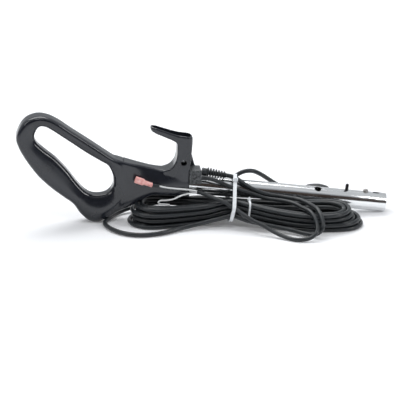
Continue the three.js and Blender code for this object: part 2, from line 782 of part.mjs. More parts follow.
const motorLeadRoute = [
  aroundTube(clampX1 + 2 * gap, 41.5, 6.8),
  aroundTube(4, 41, 7.4),
  aroundTube(16, 50.5, 9.3),
  aroundTube(33, 66.6, 10.7),
  aroundTube(46, 75, 12.7),
  aroundTube(62, 82.4, 13.7),
  v3(82.5, -29, 34.6),
  v3(104, -34.5, 32.4),
  v3(118, -43, 31.4),
  v3(129.5, -61, 30.4),
  v3(137, -74, 30),
  v3(142, -85, 25.5),
  v3(144.2, -95, 19),
  v3(142.6, -105, 12),
  v3(134.5, -108.6, 5.6),
  v3(117.5, -108.5, 3.2),
  v3(98.5, -96, 4.3),
  v3(86, -86, 8),
  v3(75.7, -78, 12.4),
  v3(56, -65, 20),
  v3(43, -54, 26.5),
  v3(34, -47.6, 31),
  v3(25, -43, 36),
  v3(15, -37, 38.8),
  v3(5, -29.5, 41),
  motorLeadEndNext,
  motorLeadEnd,
];
const upperWireRoute = [
  v3(-10.6, -19.4, 44.8),
  v3(-24, -18.6, 47),
  v3(-42, -18, 49),
  v3(-54, -17.6, 51),
  wireSleeveStart.clone().lerp(wireSleeveEnd, -0.06),
];
const foldedWireRoute = [
  v3(-10.6, -21.6, 42.1),
  v3(-22, -22.2, 41.9),
  v3(-32, -23, 39.8),
  v3(-42, -24, 35.6),
  v3(-52, -24.6, 34.4),
  v3(-60, -24.8, 34.3),
  v3(-62.6, -24.9, 32),
  v3(-60, -25, 29.8),
  v3(-54, -25.1, 29.2),
  v3(-47, -25.2, 28.2),
];

// One squarish section across X: place along X, half height, half depth
function crossSection(x, halfZ, halfY, squareness, sides) {
  const points = [];
  for (let i = 0; i < sides; i += 1) {
    const angle = (i / sides) * Math.PI * 2;
    const [z, y] = roundedSquare(angle, squareness);
    points.push(v3(x, -y * halfY, z * halfZ));
  }
  return points;
}

// Plug moulded on the cord: a ribbed sleeve that widens into the body
function plugBody() {
  const half = plugWidth / 2;
  const deep = plugThickness / 2;
  const sections = [];
  for (let i = 0; i < plugRibs; i += 1) {
    const radius = 4.4 + i * 0.5;
    const x = -reliefStem + i * plugRibPitch;
    const waist = radius - plugRibHeight;
    sections.push([x, radius, radius], [x + plugRibPitch * 0.48, radius, radius]);
    sections.push([x + plugRibPitch * 0.57, waist, waist], [x + plugRibPitch * 0.91, waist, waist]);
  }
  sections.push([0, half * 0.6, deep * 0.76]);
  sections.push([plugLength * 0.24, half * 0.88, deep * 0.93]);
  sections.push([plugLength * 0.5, half, deep]);
  sections.push([plugLength * 0.9, half, deep]);
  sections.push([plugLength, half - 0.8, deep - 0.8]);
  let body = toSolid(loft(sections.map(([x, z, y]) => crossSection(x, z, y, 2.8, 14)), false));
  [-1, 1].forEach((side) => {
    const z = (side * bladeSpacing) / 2;
    const deepY = bladeWidth / 2 + gap;
    const deepZ = bladeThickness / 2 + gap;
    const pocket = boxSolid(plugLength - bladeSeat, beyond, -deepY, deepY, z - deepZ, z + deepZ);
    body = body.subtract(pocket);
  });
  return body;
}

// Flat blade with a chamfered tip and the usual hole in it
function plugBlade(side) {
  const half = bladeWidth / 2;
  const root = plugLength - bladeSeat + gap;
  const tip = plugLength + bladeLength;
  const shape = new THREE.Shape();
  shape.moveTo(root, -half);
  shape.lineTo(tip - 1.6, -half);
  shape.lineTo(tip, -half + 1.8);
  shape.lineTo(tip, half - 1.8);
  shape.lineTo(tip - 1.6, half);
  shape.lineTo(root, half);
  shape.closePath();
  const hole = new THREE.Path();
  hole.absarc(tip - 4.6, 0, bladeHoleDiameter / 2, 0, Math.PI * 2, true);
  shape.holes.push(hole);
  const flat = { depth: bladeThickness, bevelEnabled: false, curveSegments: 6 };
  const blade = new THREE.ExtrudeGeometry(shape, flat);
  return blade.translate(0, 0, (side * bladeSpacing) / 2 - bladeThickness / 2);
}

// The frame of a piece that points from one place to another, +X ahead
function pointing(from, to) {
  const ahead = to.clone().sub(from).normalize();
  const turn = new THREE.Quaternion().setFromUnitVectors(v3(1, 0, 0), ahead);
  return new THREE.Matrix4().makeRotationFromQuaternion(turn).setPosition(from);
}

// Shrink sleeve between the wire and its terminal
function wireSleeve() {
  const length = wireSleeveStart.distanceTo(wireSleeveEnd);
  const radius = wireSleeveDiameter / 2;
  const rows = [[0, radius * 0.8], [1, radius], [length - 1, radius], [length, radius * 0.86]];
  const sections = rows.map(([x, r]) => crossSection(x, r, r, 2, 12));
  return toSolid(loft(sections, false)).transform(pointing(wireSleeveStart, wireSleeveEnd).elements);
}

// Insulating sleeve of the push-on terminal: a round barrel that widens to a flat mouth
function terminalSleeve() {
  const rows = [
    [0, 2.9, 2.9], [0.8, 3.25, 3.25], [10.6, 3.15, 3.15],
    [13.2, 4.6, 2.9], [terminalLength - 0.6, 4.75, 2.9], [terminalLength, 4.4, 2.6],
  ];
  const outside = toSolid(loft(rows.map(([x, z, y]) => crossSection(x, z, y, 2.6, 16)), false));
  const deepY = receptacleThickness / 2 + gap;
  const deepZ = receptacleWidth / 2 + gap;
  return outside.subtract(boxSolid(receptacleFrom - gap, beyond, -deepY, deepY, -deepZ, deepZ));
}

// Rolled sheet that grips the blade, open along one face
function terminalReceptacle() {
  const halfY = receptacleThickness / 2;
  const halfZ = receptacleWidth / 2;
  const to = terminalLength - 0.8;
  const sheet = 0.45;
  const roomY = halfY - sheet;
  const roomZ = halfZ - sheet;
  return boxSolid(receptacleFrom, to, -halfY, halfY, -halfZ, halfZ)
    .subtract(boxSolid(-beyond, beyond, -roomY, roomY, -roomZ, roomZ))
    .subtract(boxSolid(-beyond, beyond, -beyond, 0, -1, 1));
}

// A strap pulled round some round things: place across Y, height and radius of each.
// It leans along X as it rises.
function strap({ things, footX, footZ, lean, width, thickness }) {
  const circles = things.map(([y, z, r]) => wasm.CrossSection.circle(r, 16).translate([y, z]));
  const inside = wasm.CrossSection.hull(circles);
  const band = inside.offset(thickness, 'Round', 2, 16).subtract(inside).extrude(width);
  return band.warp((p) => {
    const [y, z, x] = p;
    p[0] = x - width / 2 + footX + (z - footZ) * lean;
    p[1] = y;
    p[2] = z;
  });
}

const plastic = { color: 0x40434b, roughness: 0.32, metalness: 0 };
const cordSkin = { color: 0x25282a, roughness: 0.5, metalness: 0 };
const darkSteel = { color: 0x2b2b2d, roughness: 0.45, metalness: 0.9 };
const zinc = { color: 0xb9bcc0, roughness: 0.35, metalness: 1 };
const brass = { color: 0xc9a25a, roughness: 0.3, metalness: 1 };
const whiteWire = { color: 0xf2f3f4, roughness: 0.4, metalness: 0 };
const pinkSleeve = { color: 0xf0a3a0, roughness: 0.4, metalness: 0 };
const tieWhite = { color: 0xe6e9ec, roughness: 0.35, metalness: 0 };
const chrome = { color: 0xd9dcdf, roughness: 0.12, metalness: 1 };

const assembly = new THREE.Group();
const onTube = new THREE.Group();
onTube.applyMatrix4(tubeFrame);
assembly.add(onTube);

function addPiece(parent, name, shape, look) {
  const geometry = shape instanceof THREE.BufferGeometry ? shape : toGeometry(shape);
  const mesh = new THREE.Mesh(geometry, new THREE.MeshStandardMaterial(look));
  mesh.name = name;
  parent.add(mesh);
  return mesh;
}

const { front, back } = halves();
addPiece(assembly, 'grip_front_shell', front, plastic);
addPiece(assembly, 'grip_back_shell', back, plastic);
housingScrews.forEach((screw, i) => addPiece(assembly, `shell_screw_${i + 1}`, screwSolid(screw), zinc));
addPiece(assembly, 'socket_screw', socketScrew(), zinc);
addPiece(onTube, 'chrome_tube', tube(), chrome);
addPiece(onTube, 'hitch_bolt', hitchBolt(), darkSteel);
addPiece(onTube, 'snap_button', snapButton(), darkSteel);
addPiece(onTube, 'button_spring', buttonSpring(), zinc);
addPiece(assembly, 'cord_clamp', cordClamp(), plastic);
addPiece(assembly, 'strain_relief', strainRelief(), cordSkin);
reportLeastGap(hankLine);
addPiece(assembly, 'power_cord_lead_in', cordAlong(leadInRoute, cordDiameter, 52, 8), cordSkin);
addPiece(assembly, 'power_cord_hank', tubeThrough(hankLine, cordDiameter, 6), cordSkin);
addPiece(assembly, 'power_cord_tail', cordAlong(tailRoute, cordDiameter, 20, 8), cordSkin);

const plug = new THREE.Group();
plug.applyMatrix4(plugFrame);
assembly.add(plug);
addPiece(plug, 'plug_body', plugBody(), cordSkin);
addPiece(plug, 'plug_blade_1', plugBlade(1), brass);
addPiece(plug, 'plug_blade_2', plugBlade(-1), brass);

const terminal = new THREE.Group();
terminal.applyMatrix4(pointing(terminalStart, terminalTip));
assembly.add(terminal);
addPiece(assembly, 'motor_lead', cordAlong(motorLeadRoute, leadDiameter, 44, 8), cordSkin);
addPiece(assembly, 'white_wire_upper', cordAlong(upperWireRoute, wireDiameter, 8, 8), whiteWire);
addPiece(assembly, 'white_wire_folded', cordAlong(foldedWireRoute, wireDiameter, 18, 8), whiteWire);
addPiece(assembly, 'wire_sleeve', wireSleeve(), cordSkin);
addPiece(terminal, 'terminal_sleeve', terminalSleeve(), pinkSleeve);
addPiece(terminal, 'terminal_receptacle', terminalReceptacle(), brass);

// The main tie holds the tube, the free stretches and the corners of the hank; the front tie
// goes through the middle of the hank and holds its front strands
const mainTie = {
  things: [
    [0, tubeAxisZ(40), tubeRadius + 3 * gap],
    [-6.4, 57, 4.3],
    [-22.6, 48.6, 3.6],
    [-48.2, 31, 4],
    [-51, 28.6, 3.8],
    [-47.6, 16.2, 5],
    [-39.6, 13.9, 4],
    [-4.8, 5.2, 3.8],
    [-4.8, 25.4, 3.8],
  ],
  footX: 33,
  footZ: 10,
  lean: 0.2,
  width: tieWidth,
  thickness: tieThickness,
};
addPiece(assembly, 'cable_tie', strap(mainTie), tieWhite);
const frontTie = {
  things: [
    [-38.9, 10, 4.2],
    [-39.3, 30, 4.5],
    [-47.2, 11.2, 3.9],
    [-47.9, 31.3, 3.9],
  ],
  footX: 57,
  footZ: 12,
  lean: 0.1,
  width: frontTieWidth,
  thickness: frontTieThickness,
};
addPiece(assembly, 'front_tie', strap(frontTie), tieWhite);

const group = new THREE.Group();
group.add(assembly);

export default group;
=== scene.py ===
# %% [markdown]
# # A vacuum cleaner handle, its chrome tube and its hanked power cord
# The real object is a spare part: a moulded grip on a one-inch tube, with six metres of cord
# wound flat beside it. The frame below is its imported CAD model, in metres and in its own axes: X
# along the tube, Z up, and the camera's side is -Y. Tables and sizes are written in millimetres
# where they are easier to read so, and MM turns them to metres.

# %% Load the frame
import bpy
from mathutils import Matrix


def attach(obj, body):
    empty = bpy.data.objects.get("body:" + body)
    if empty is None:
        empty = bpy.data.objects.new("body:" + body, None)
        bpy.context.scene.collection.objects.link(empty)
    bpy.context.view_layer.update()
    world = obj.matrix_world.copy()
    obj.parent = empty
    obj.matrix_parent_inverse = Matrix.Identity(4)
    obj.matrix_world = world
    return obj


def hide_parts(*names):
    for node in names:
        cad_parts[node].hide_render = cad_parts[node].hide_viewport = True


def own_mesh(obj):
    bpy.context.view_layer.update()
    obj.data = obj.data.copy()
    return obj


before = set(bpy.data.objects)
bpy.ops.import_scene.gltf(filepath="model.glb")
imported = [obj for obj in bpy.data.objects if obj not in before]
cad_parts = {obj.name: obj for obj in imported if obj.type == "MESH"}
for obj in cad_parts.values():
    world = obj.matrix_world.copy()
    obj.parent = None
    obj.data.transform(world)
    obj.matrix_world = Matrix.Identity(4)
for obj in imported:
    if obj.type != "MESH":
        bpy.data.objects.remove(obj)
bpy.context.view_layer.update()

# %% Tools that the whole lesson shares
import math
import bmesh
import bpy
from mathutils import Matrix, Vector

MM = 0.001
scene = bpy.context.scene


def mm(x, y, z):
    """A place given in millimetres, as a vector in metres."""
    return Vector((x, y, z)) * MM


def linear(hex_colour):
    """An sRGB hex colour as the linear RGBA that shaders work in."""
    channels = [int(hex_colour[i:i + 2], 16) / 255 for i in (1, 3, 5)]
    return [c / 12.92 if c <= 0.04045 else ((c + 0.055) / 1.055) ** 2.4 for c in channels] + [1.0]


def add_node(tree, kind, settings=None, **inputs):
    """One node with its settings. An input is a value, an output, or a node whose first output it takes."""
    node = tree.nodes.new("ShaderNode" + kind)
    for key, value in (settings or {}).items():
        setattr(node, key, value)
    for key, value in inputs.items():
        socket = node.inputs[int(key[3:]) if key.startswith("in_") else key.replace("_", " ")]
        if isinstance(value, bpy.types.Node):
            value = value.outputs[0]
        if isinstance(value, bpy.types.NodeSocket):
            tree.links.new(value, socket)
        else:
            socket.default_value = value
    return node


def new_material(name):
    """An empty material, and the tree that it is built in."""
    material = bpy.data.materials.new(name)
    material.use_nodes = True
    tree = material.node_tree
    tree.nodes.clear()
    return material, tree


def with_stops(ramp, stops):
    """The same ramp node, with its colours set from (place, hex colour) stops."""
    elements = ramp.color_ramp.elements
    while len(elements) < len(stops):
        elements.new(0.5)
    for element, (place, colour) in zip(elements, stops):
        element.position = place
        element.color = linear(colour)
    return ramp


def in_scene(name, data):
    """An object with this data, at the scene's origin."""
    thing = bpy.data.objects.new(name, data)
    scene.collection.objects.link(thing)
    return thing


def from_bmesh(name, bm):
    """A bmesh as an object in the scene. The bmesh is used up."""
    mesh = bpy.data.meshes.new(name)
    bm.to_mesh(mesh)
    bm.free()
    return in_scene(name, mesh)


# %% [markdown]
# ## Camera
# The photograph was taken with a long lens, a little to the left of the part and 20 degrees
# above it. A pixel is 1.35 mm at the part, so the picture is 540 mm wide. The camera is turned by
# three axes that are worked out from the two angles, which is easier to read than Euler angles.

# %% Camera
AZIMUTH = math.radians(5.5)
ELEVATION = math.radians(20.0)
DISTANCE = 4.2
PICTURE = 400
PIXEL = 1.35 * MM
# The foot's place in the picture, and how far in front of it the pixel's size holds.
FOOT_PIXEL = (95, 220.5)
SCALE_PLANE = 17 * MM
forward = Vector((
    math.sin(AZIMUTH) * math.cos(ELEVATION), math.cos(AZIMUTH) * math.cos(ELEVATION), -math.sin(ELEVATION),
))
right = Vector((math.cos(AZIMUTH), -math.sin(AZIMUTH), 0))
up = right.cross(forward)
from_foot = right * (PICTURE / 2 - FOOT_PIXEL[0]) * PIXEL + up * (FOOT_PIXEL[1] - PICTURE / 2) * PIXEL
middle = mm(-146, 0, 0) + from_foot - forward * SCALE_PLANE

camera_data = bpy.data.cameras.new("studio_camera")
camera_data.sensor_width = 36
camera_data.lens = camera_data.sensor_width * DISTANCE / (PICTURE * PIXEL)
camera = in_scene("studio_camera", camera_data)
turn = Matrix((right, up, -forward)).transposed().to_4x4()
camera.matrix_world = Matrix.Translation(middle - forward * DISTANCE) @ turn
scene.camera = camera
print("camera at", [round(c, 3) for c in camera.location], "lens", round(camera_data.lens), "mm")

# %% [markdown]
# ## Floor and light
# The part lies on white paper under soft boxes. The glossy plastic shows three things in the
# photograph: the white floor on the faces that lean down, a dark room in front at eye height, and
# the bright wall and ceiling behind. So the world is a simple sky, dark in front and bright behind
# and overhead, and four area lamps stand for the soft boxes. The floor looks white to the camera
# and in reflections because it glows a little for those rays, which leaves the object's shadow.

# %% Floor
paper, tree = new_material("white_paper_sweep")
paths = add_node(tree, "LightPath")
seen = paths.outputs["Is Camera Ray"]
for ray in ("Is Glossy Ray", "Is Transmission Ray"):
    seen = add_node(tree, "Math", {"operation": "MAXIMUM"}, in_0=seen, in_1=paths.outputs[ray])
glow_level = add_node(tree, "Math", {"operation": "MULTIPLY"}, in_0=seen, in_1=0.1)
sheet = add_node(tree, "BsdfDiffuse", Color=linear("#f4f5f7"), Roughness=0.0)
glow = add_node(tree, "Emission", Color=linear("#ffffff"), Strength=glow_level)
both = add_node(tree, "AddShader", in_0=sheet, in_1=glow)
add_node(tree, "OutputMaterial", Surface=both)

bm = bmesh.new()
bmesh.ops.create_grid(bm, x_segments=1, y_segments=1, size=30)
floor = from_bmesh("floor", bm)
floor.data.materials.append(paper)
print("floor is", floor.dimensions.x, "m wide")

# %% World
world = bpy.data.worlds.new("studio_room")
scene.world = world
world.use_nodes = True
tree = world.node_tree
tree.nodes.clear()
direction = add_node(tree, "TexCoord")
axes = add_node(tree, "SeparateXYZ", Vector=direction.outputs["Generated"])
rising = add_node(tree, "Math", {"operation": "MULTIPLY_ADD"}, in_0=axes.outputs["Z"], in_1=1.3, in_2=0.0)
behind = add_node(tree, "Math", {"operation": "MULTIPLY_ADD"}, in_0=axes.outputs["Y"], in_1=0.9, in_2=rising)
bright = add_node(tree, "MapRange", Value=behind, From_Min=-1.0, From_Max=1.5)
room_colours = [(0.0, "#3a3331"), (0.43, "#4d443f"), (0.55, "#bcc0c6"), (0.68, "#e8ebee")]
sky = with_stops(add_node(tree, "ValToRGB", Fac=bright), room_colours)
room = add_node(tree, "Background", Color=sky, Strength=0.72)
add_node(tree, "OutputWorld", Surface=room)
print("world is dark in front and bright behind and overhead")

# %% Soft boxes
LIT_POINT = Vector((0, 0, 0.05))


def soft_box(name, place, size, watts):
    """An area lamp that faces the part."""
    lamp = bpy.data.lights.new(name, "AREA")
    lamp.shape = "RECTANGLE"
    lamp.size, lamp.size_y = size
    lamp.energy = watts
    holder = in_scene(name, lamp)
    holder.location = place
    holder.rotation_euler = (LIT_POINT - Vector(place)).to_track_quat("-Z", "Y").to_euler()


soft_box("back_top_box", (-0.3, 0.8, 1.75), (1.9, 1.1), 25)
soft_box("front_top_box", (-0.2, -1.15, 1.8), (0.9, 0.28), 5)
soft_box("left_box", (-1.7, -0.9, 1.3), (0.4, 0.9), 5.5)
soft_box("right_box", (1.6, -1.0, 1.05), (0.3, 1.1), 10)
scene.view_settings.view_transform = "Standard"
print("four soft boxes")

# %% [markdown]
# ## Materials of the cords
# The jackets are soft PVC, extruded smooth: nearly black, with a broad satin highlight that
# follows the cord, and handling marks that only change the gloss. The wires inside have a thin,
# hard, shiny white skin. Noise on Object coordinates is enough, because a jacket has no grain
# that would have to follow the cord.

# %% Cord jacket and wire skin
def soft_skin(name, dark, light, gloss, mark_size, bump):
    """An extruded plastic skin: two close colours, uneven gloss and a faint ripple."""
    material, tree = new_material(name)
    place = add_node(tree, "TexCoord").outputs["Object"]
    marks = add_node(tree, "TexNoise", Vector=place, Scale=1 / mark_size, Detail=4.0, Roughness=0.6)
    colour = with_stops(add_node(tree, "ValToRGB", Fac=marks), [(0.35, dark), (0.7, light)])
    low, high = gloss
    rough = add_node(tree, "MapRange", Value=marks, From_Min=0.3, From_Max=0.7, To_Min=low, To_Max=high)
    grain = add_node(tree, "TexNoise", Vector=place, Scale=1 / (0.6 * MM), Detail=2.0)
    relief = add_node(tree, "Bump", Height=grain, Strength=bump, Distance=0.1 * MM)
    skin = add_node(tree, "BsdfPrincipled", Base_Color=colour, Roughness=rough, IOR=1.52, Normal=relief)
    add_node(tree, "OutputMaterial", Surface=skin)
    return material


cord_pvc = soft_skin("extruded_black_pvc", "#1b1f22", "#272c30", (0.3, 0.42), 14 * MM, 0.25)
wire_pvc = soft_skin("extruded_white_pvc", "#eceeef", "#f6f7f7", (0.25, 0.35), 9 * MM, 0.1)
print("cord materials ready")

# %% [markdown]
# ## Cords
# A cord is a fixed length of something springy, so its facts come first: 6 mm across, anchored
# beside the grip, and about 6.1 metres long from its sleeve to its plug, all of it in the picture.
# It is one smooth curve through a few listed points, with the hank worked out from a table of
# its widths, which keeps every turn the same distance from the next.

# %% One smooth line through points
def catmull(a, b, c, d, share):
    """A point part of the way from b to c on the centripetal Catmull-Rom curve through all four."""
    t1 = (b - a).length ** 0.5
    t2 = t1 + (c - b).length ** 0.5
    t3 = t2 + (d - c).length ** 0.5
    t = t1 + (t2 - t1) * share
    ab = a.lerp(b, t / t1)
    bc = b.lerp(c, (t - t1) / (t2 - t1))
    cd = c.lerp(d, (t - t2) / (t3 - t2))
    abc = ab.lerp(bc, t / t2)
    bcd = bc.lerp(cd, (t - t1) / (t3 - t1))
    return abc.lerp(bcd, (t - t1) / (t2 - t1))


def spans(points, closed=False):
    """The four points that give each span of a curve its shape."""
    if closed:
        ends = [points[-1]] + points + points[:2]
    else:
        ends = [points[0] * 2 - points[1]] + points + [points[-1] * 2 - points[-2]]
    return [ends[i:i + 4] for i in range(len(ends) - 3)]


def smooth_line(points, spacing):
    """Points in metres on a smooth curve. The given ones and their spacing are in millimetres."""
    points = [Vector(p) * MM for p in points]
    line = []
    for span in spans(points):
        count = max(2, math.ceil((span[2] - span[1]).length / (spacing * MM)))
        line += [catmull(*span, i / count) for i in range(count)]
    return line + [points[-1]]


def line_length(line):
    return sum((b - a).length for a, b in zip(line, line[1:]))


def cord_curve(name, line, diameter, material):
    """A round cord as one open spline."""
    curve = bpy.data.curves.new(name, "CURVE")
    curve.dimensions = "3D"
    curve.bevel_depth = diameter * MM / 2
    curve.bevel_resolution = 4
    curve.use_fill_caps = True
    spline = curve.splines.new("POLY")
    spline.points.add(len(line) - 1)
    for point, place in zip(spline.points, line):
        point.co = (*place, 1)
    spline.use_smooth = True
    curve.materials.append(material)
    piece = in_scene(name, curve)
    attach(piece, "handle")
    return piece


print("a cord is a POLY spline with a round bevel")

# %% The hank's line
HANK_BASE = 3.4
LAYER = 6.66
STATIONS = [
    (-70, -14, 18, 7.2, 0, 0), (0, -16, 9, 7.4, 1.6, -0.06), (36, -22, 3.5, 7, 6.6, -0.26),
    (60, -31, 5.5, 7.8, 5, -0.18), (92, -39, 11, 7.4, 2, -0.06), (132, -46, 16.5, 7, 0, 0),
    (183, -48, 18, 6.9, 0, 0),
]
TURNS = (71, 119, 167)
# A higher layer ends earlier at the left and at the right, and springs up towards the left.
LEFT_SHORTER, RIGHT_SHORTER, SPRING_UP = 2, 6.5, 1.2
RUN_OUT = 6
ORDER = [(4, 1), (5, 1)] + [("right", i) for i in range(6)]
ORDER += [(i, -1) for i in (6, 5, 4, 3, 2, 1)]
ORDER += [("left", i) for i in range(6)] + [(i, 1) for i in (0, 1, 2, 3)]


def hank_point(step):
    """Where the hank's middle line is after a number of steps, 24 to a loop, in millimetres."""
    start = TURNS[0] if step < TURNS[1] else TURNS[2]
    nested = abs(step - start) / len(ORDER)
    layer = 3 - sum(min(max((step - turn) / 12 + 0.5, 0), 1) for turn in TURNS)
    where, which = ORDER[step % len(ORDER)]
    angle, side = 0.0, which
    if where in ("right", "left"):
        angle = which / 6 * math.pi
        where, side = (6, 1) if where == "right" else (0, -1)
    x, y, half, pitch, lift, slope = STATIONS[where]
    if where == 0:
        x += LEFT_SHORTER * layer
    if where == 6:
        x -= RIGHT_SHORTER * layer
    lift += SPRING_UP * layer * min(max((30 - x) / 90, 0), 1)
    reach = half + nested * pitch
    across = side * reach * math.cos(angle)
    along = side * reach * math.sin(angle)
    return Vector((x + along, y + across, HANK_BASE + layer * LAYER + lift + slope * across))


FIRST_STEP, LAST_STEP = 21, 213
turns = [hank_point(step) for step in range(FIRST_STEP, LAST_STEP + 1)]
first_run = turns[0] + (turns[0] - turns[1]).normalized() * RUN_OUT
last_run = turns[-1] + (turns[-1] - turns[-2]).normalized() * RUN_OUT
hank = [first_run] + turns + [last_run]
print("hank:", len(hank), "points over", (LAST_STEP - FIRST_STEP) / len(ORDER), "turns")

# %% Power cord, from its sleeve round the hank to its plug
lead_in = [
    (31.6, -4, 60.14), (37.5, -4, 58.9), (45, -7, 56.4), (54, -13, 51.2), (66, -19, 44.8),
    (84, -22.8, 38.2), (108, -26.5, 34.6), (128, -37, 33.6), (141, -55, 32), (147.5, -71, 31.4),
    (151, -85, 26), (152.4, -93.5, 19), (150.4, -97, 12), (142.5, -96, 5.4), (130, -90, 4.4),
    (111, -79.5, 6.5), (92.7, -71.5, 8.6), (72, -63, 10.8), (55, -56.2, 13.2), (36, -46.8, 16.8),
    (15, -46.6, 13), (-6, -47, 8.4), (-35.6, -54.5, 4.6), (-64.5, -68, 3.6), (-92, -71, 3.6),
    (-111.5, -62.5, 3.6), (-128, -43, 3.6), (-134.6, -21, 3.6), (-127.6, -3, 3.6),
    (-116, 15.5, 3.8), (-98, 27, 6), (-75, 28.5, 10), (-48, 25.5, 15), (-26, 18.5, 20.5),
]
plug_tail = [
    (24, 8, 6.2), (33, 15, 14), (37, 20, 26), (39.5, 19.8, 39), (44.5, 16.8, 49), (51, 14, 55.8),
    (60, 13, 59.4), (70, 15.4, 58.4), (80, 21, 52.2), (90.5, 28.2, 43.2), (101.5, 36.5, 33),
    (111.5, 42.5, 25.4), (121.5, 47.2, 20), (131.1, 49.2, 17.3), (137.3, 48.4, 16.6),
]
power_line = smooth_line(lead_in + hank + plug_tail, 4)
power_cord = cord_curve("power_cord", power_line, 6, cord_pvc)
print("power cord:", round(line_length(power_line), 2), "m")

# %% Motor lead, round the front and back to its stripped end
lead_points = [
    (-2.3, -12.9, 61), (4, -13.2, 60.8), (16, -17, 58), (33, -21.5, 51), (46, -24.5, 46.6),
    (62, -26.2, 41.4), (82.5, -29, 34.6), (104, -34.5, 32.4), (118, -43, 31.4), (129.5, -61, 30.4),
    (137, -74, 30), (142, -85, 25.5), (144.2, -95, 19), (142.6, -105, 12), (134.5, -108.6, 5.6),
    (117.5, -108.5, 3.2), (98.5, -96, 4.3), (86, -86, 8), (75.7, -78, 12.4), (56, -65, 20),
    (43, -54, 26.5), (34, -47.6, 31), (25, -43, 36), (15, -37, 38.8), (5, -29.5, 41),
    (-3.8, -21.6, 42.4), (-9.6, -20.5, 43.4),
]
lead_line = smooth_line(lead_points, 4)
motor_cord = cord_curve("motor_lead_jacket", lead_line, 5.6, cord_pvc)
print("motor lead:", round(line_length(lead_line), 2), "m")

# %% The two white wires at the stripped end
upper_points = [
    (-9.4, -19.5, 44.6), (-24, -18.6, 47), (-42, -18, 49), (-54, -17.6, 51), (-60.4, -19.38, 53.4),
]
folded_points = [
    (-9.4, -21.5, 42.2), (-22, -22.2, 41.9), (-32, -23, 39.8), (-42, -24, 35.6), (-52, -24.6, 34.4),
    (-60, -24.8, 34.3), (-62.6, -24.9, 32), (-60, -25, 29.8), (-54, -25.1, 29.2), (-47, -25.2, 28.2),
]
upper_line = smooth_line(upper_points, 2)
folded_line = smooth_line(folded_points, 1.2)
upper_wire = cord_curve("upper_wire", upper_line, 2.3, wire_pvc)
folded_wire = cord_curve("folded_wire", folded_line, 2.3, wire_pvc)
print("wires:", round(line_length(upper_line) * 1000), "and", round(line_length(folded_line) * 1000), "mm")

# %% [markdown]
# ## Grip plastic
# The housing is moulded ABS with a polished mould face. It is nearly black in itself: what looks
# grey on it is the pale floor in its gloss, what looks black is the dark side of the room, and
# the light edges are the ceiling. So the colour stays dark, the coat is smooth, and only a faint
# orange peel and a few hundredths of uneven gloss break the mirror. The clamp is the same plastic
# from a sparked mould, so its face is rough and mottled.

# %% Moulded ABS, polished and sparked
PEEL_SIZE = 1.6 * MM


def moulded_abs(name, dark, light, patch, gloss, peel_height):
    """Moulded plastic: two colours in patches, uneven gloss, and a skin with a fine relief."""
    material, tree = new_material(name)
    place = add_node(tree, "TexCoord").outputs["Object"]
    flow = add_node(tree, "TexNoise", Vector=place, Scale=1 / patch, Detail=3.0)
    colour = with_stops(add_node(tree, "ValToRGB", Fac=flow), [(0.36, dark), (0.64, light)])
    handling = add_node(tree, "TexNoise", Vector=place, Scale=1 / (6 * MM), Detail=5.0, Roughness=0.65)
    low, high = gloss
    rough = add_node(tree, "MapRange", Value=handling, From_Min=0.35, From_Max=0.7, To_Min=low, To_Max=high)
    peel = add_node(tree, "TexNoise", Vector=place, Scale=1 / PEEL_SIZE, Detail=2.0)
    relief = add_node(tree, "Bump", Height=peel, Strength=0.35, Distance=peel_height)
    skin = add_node(tree, "BsdfPrincipled", Base_Color=colour, Roughness=rough, IOR=1.58, Normal=relief)
    add_node(tree, "OutputMaterial", Surface=skin)
    return material


polished_abs = moulded_abs("polished_dark_grey_abs", "#1d2027", "#24272e", 35 * MM, (0.13, 0.2), 0.02 * MM)
sparked_abs = moulded_abs("sparked_dark_grey_abs", "#16181a", "#565a5d", 2.4 * MM, (0.35, 0.55), 0.5 * MM)
print("two finishes of one plastic")

# %% [markdown]
# ## Grip
# The grip is two moulded halves that meet in the middle plane. Its loop, neck, foot and hook run
# into each other with soft fillets, which no single row of sections can give. So each is lofted
# on its own, a voxel remesh melts them into one skin, and a few smoothing passes turn the
# joins into fillets. What is crisp on the real part is cut afterwards: the hook's channel, the
# screw wells, the tube's bore, the line round the finger opening, and last the parting plane.

# %% Curves and rings
def curve_points(points, per_span, closed=False):
    """The same number of points in each span of a smooth curve, so that two curves can be paired."""
    points = [Vector(p) for p in points]
    line = [catmull(*span, share / per_span) for span in spans(points, closed) for share in range(per_span)]
    return line if closed else line + [points[-1]]


def flat_curve(points, per_span, closed=False):
    """A smooth curve through pairs, as pairs."""
    return [(p.x, p.y) for p in curve_points([(a, b, 0) for a, b in points], per_span, closed)]


def side_line(rows, column, per_span, closed=False):
    """A smooth line in the side view through the X and Z in two columns of a table."""
    places = [(row[column] * MM, 0, row[column + 1] * MM) for row in rows]
    return curve_points(places, per_span, closed)


def ring_edges(ring):
    """The edges that join the points of one ring."""
    return list({edge for vert in ring for edge in vert.link_edges if edge.other_vert(vert) in ring})


def skin_rings(bm, rings, closed=False):
    """Bridges a row of rings, and caps its two ends unless the row is closed."""
    loops = [ring_edges(ring) for ring in rings]
    for near, far in zip(loops, loops[1:]):
        bmesh.ops.bridge_loops(bm, edges=near + far)
    if closed:
        bmesh.ops.bridge_loops(bm, edges=loops[-1] + loops[0])
    else:
        bmesh.ops.contextual_create(bm, geom=loops[0])
        bmesh.ops.contextual_create(bm, geom=loops[-1])
    bmesh.ops.recalc_face_normals(bm, faces=bm.faces)


def ring_through(bm, places):
    """A closed ring of edges through some places."""
    ring = bmesh.ops.create_circle(bm, segments=len(places), radius=1)["verts"]
    for vert, place in zip(ring, places):
        vert.co = place
    return ring


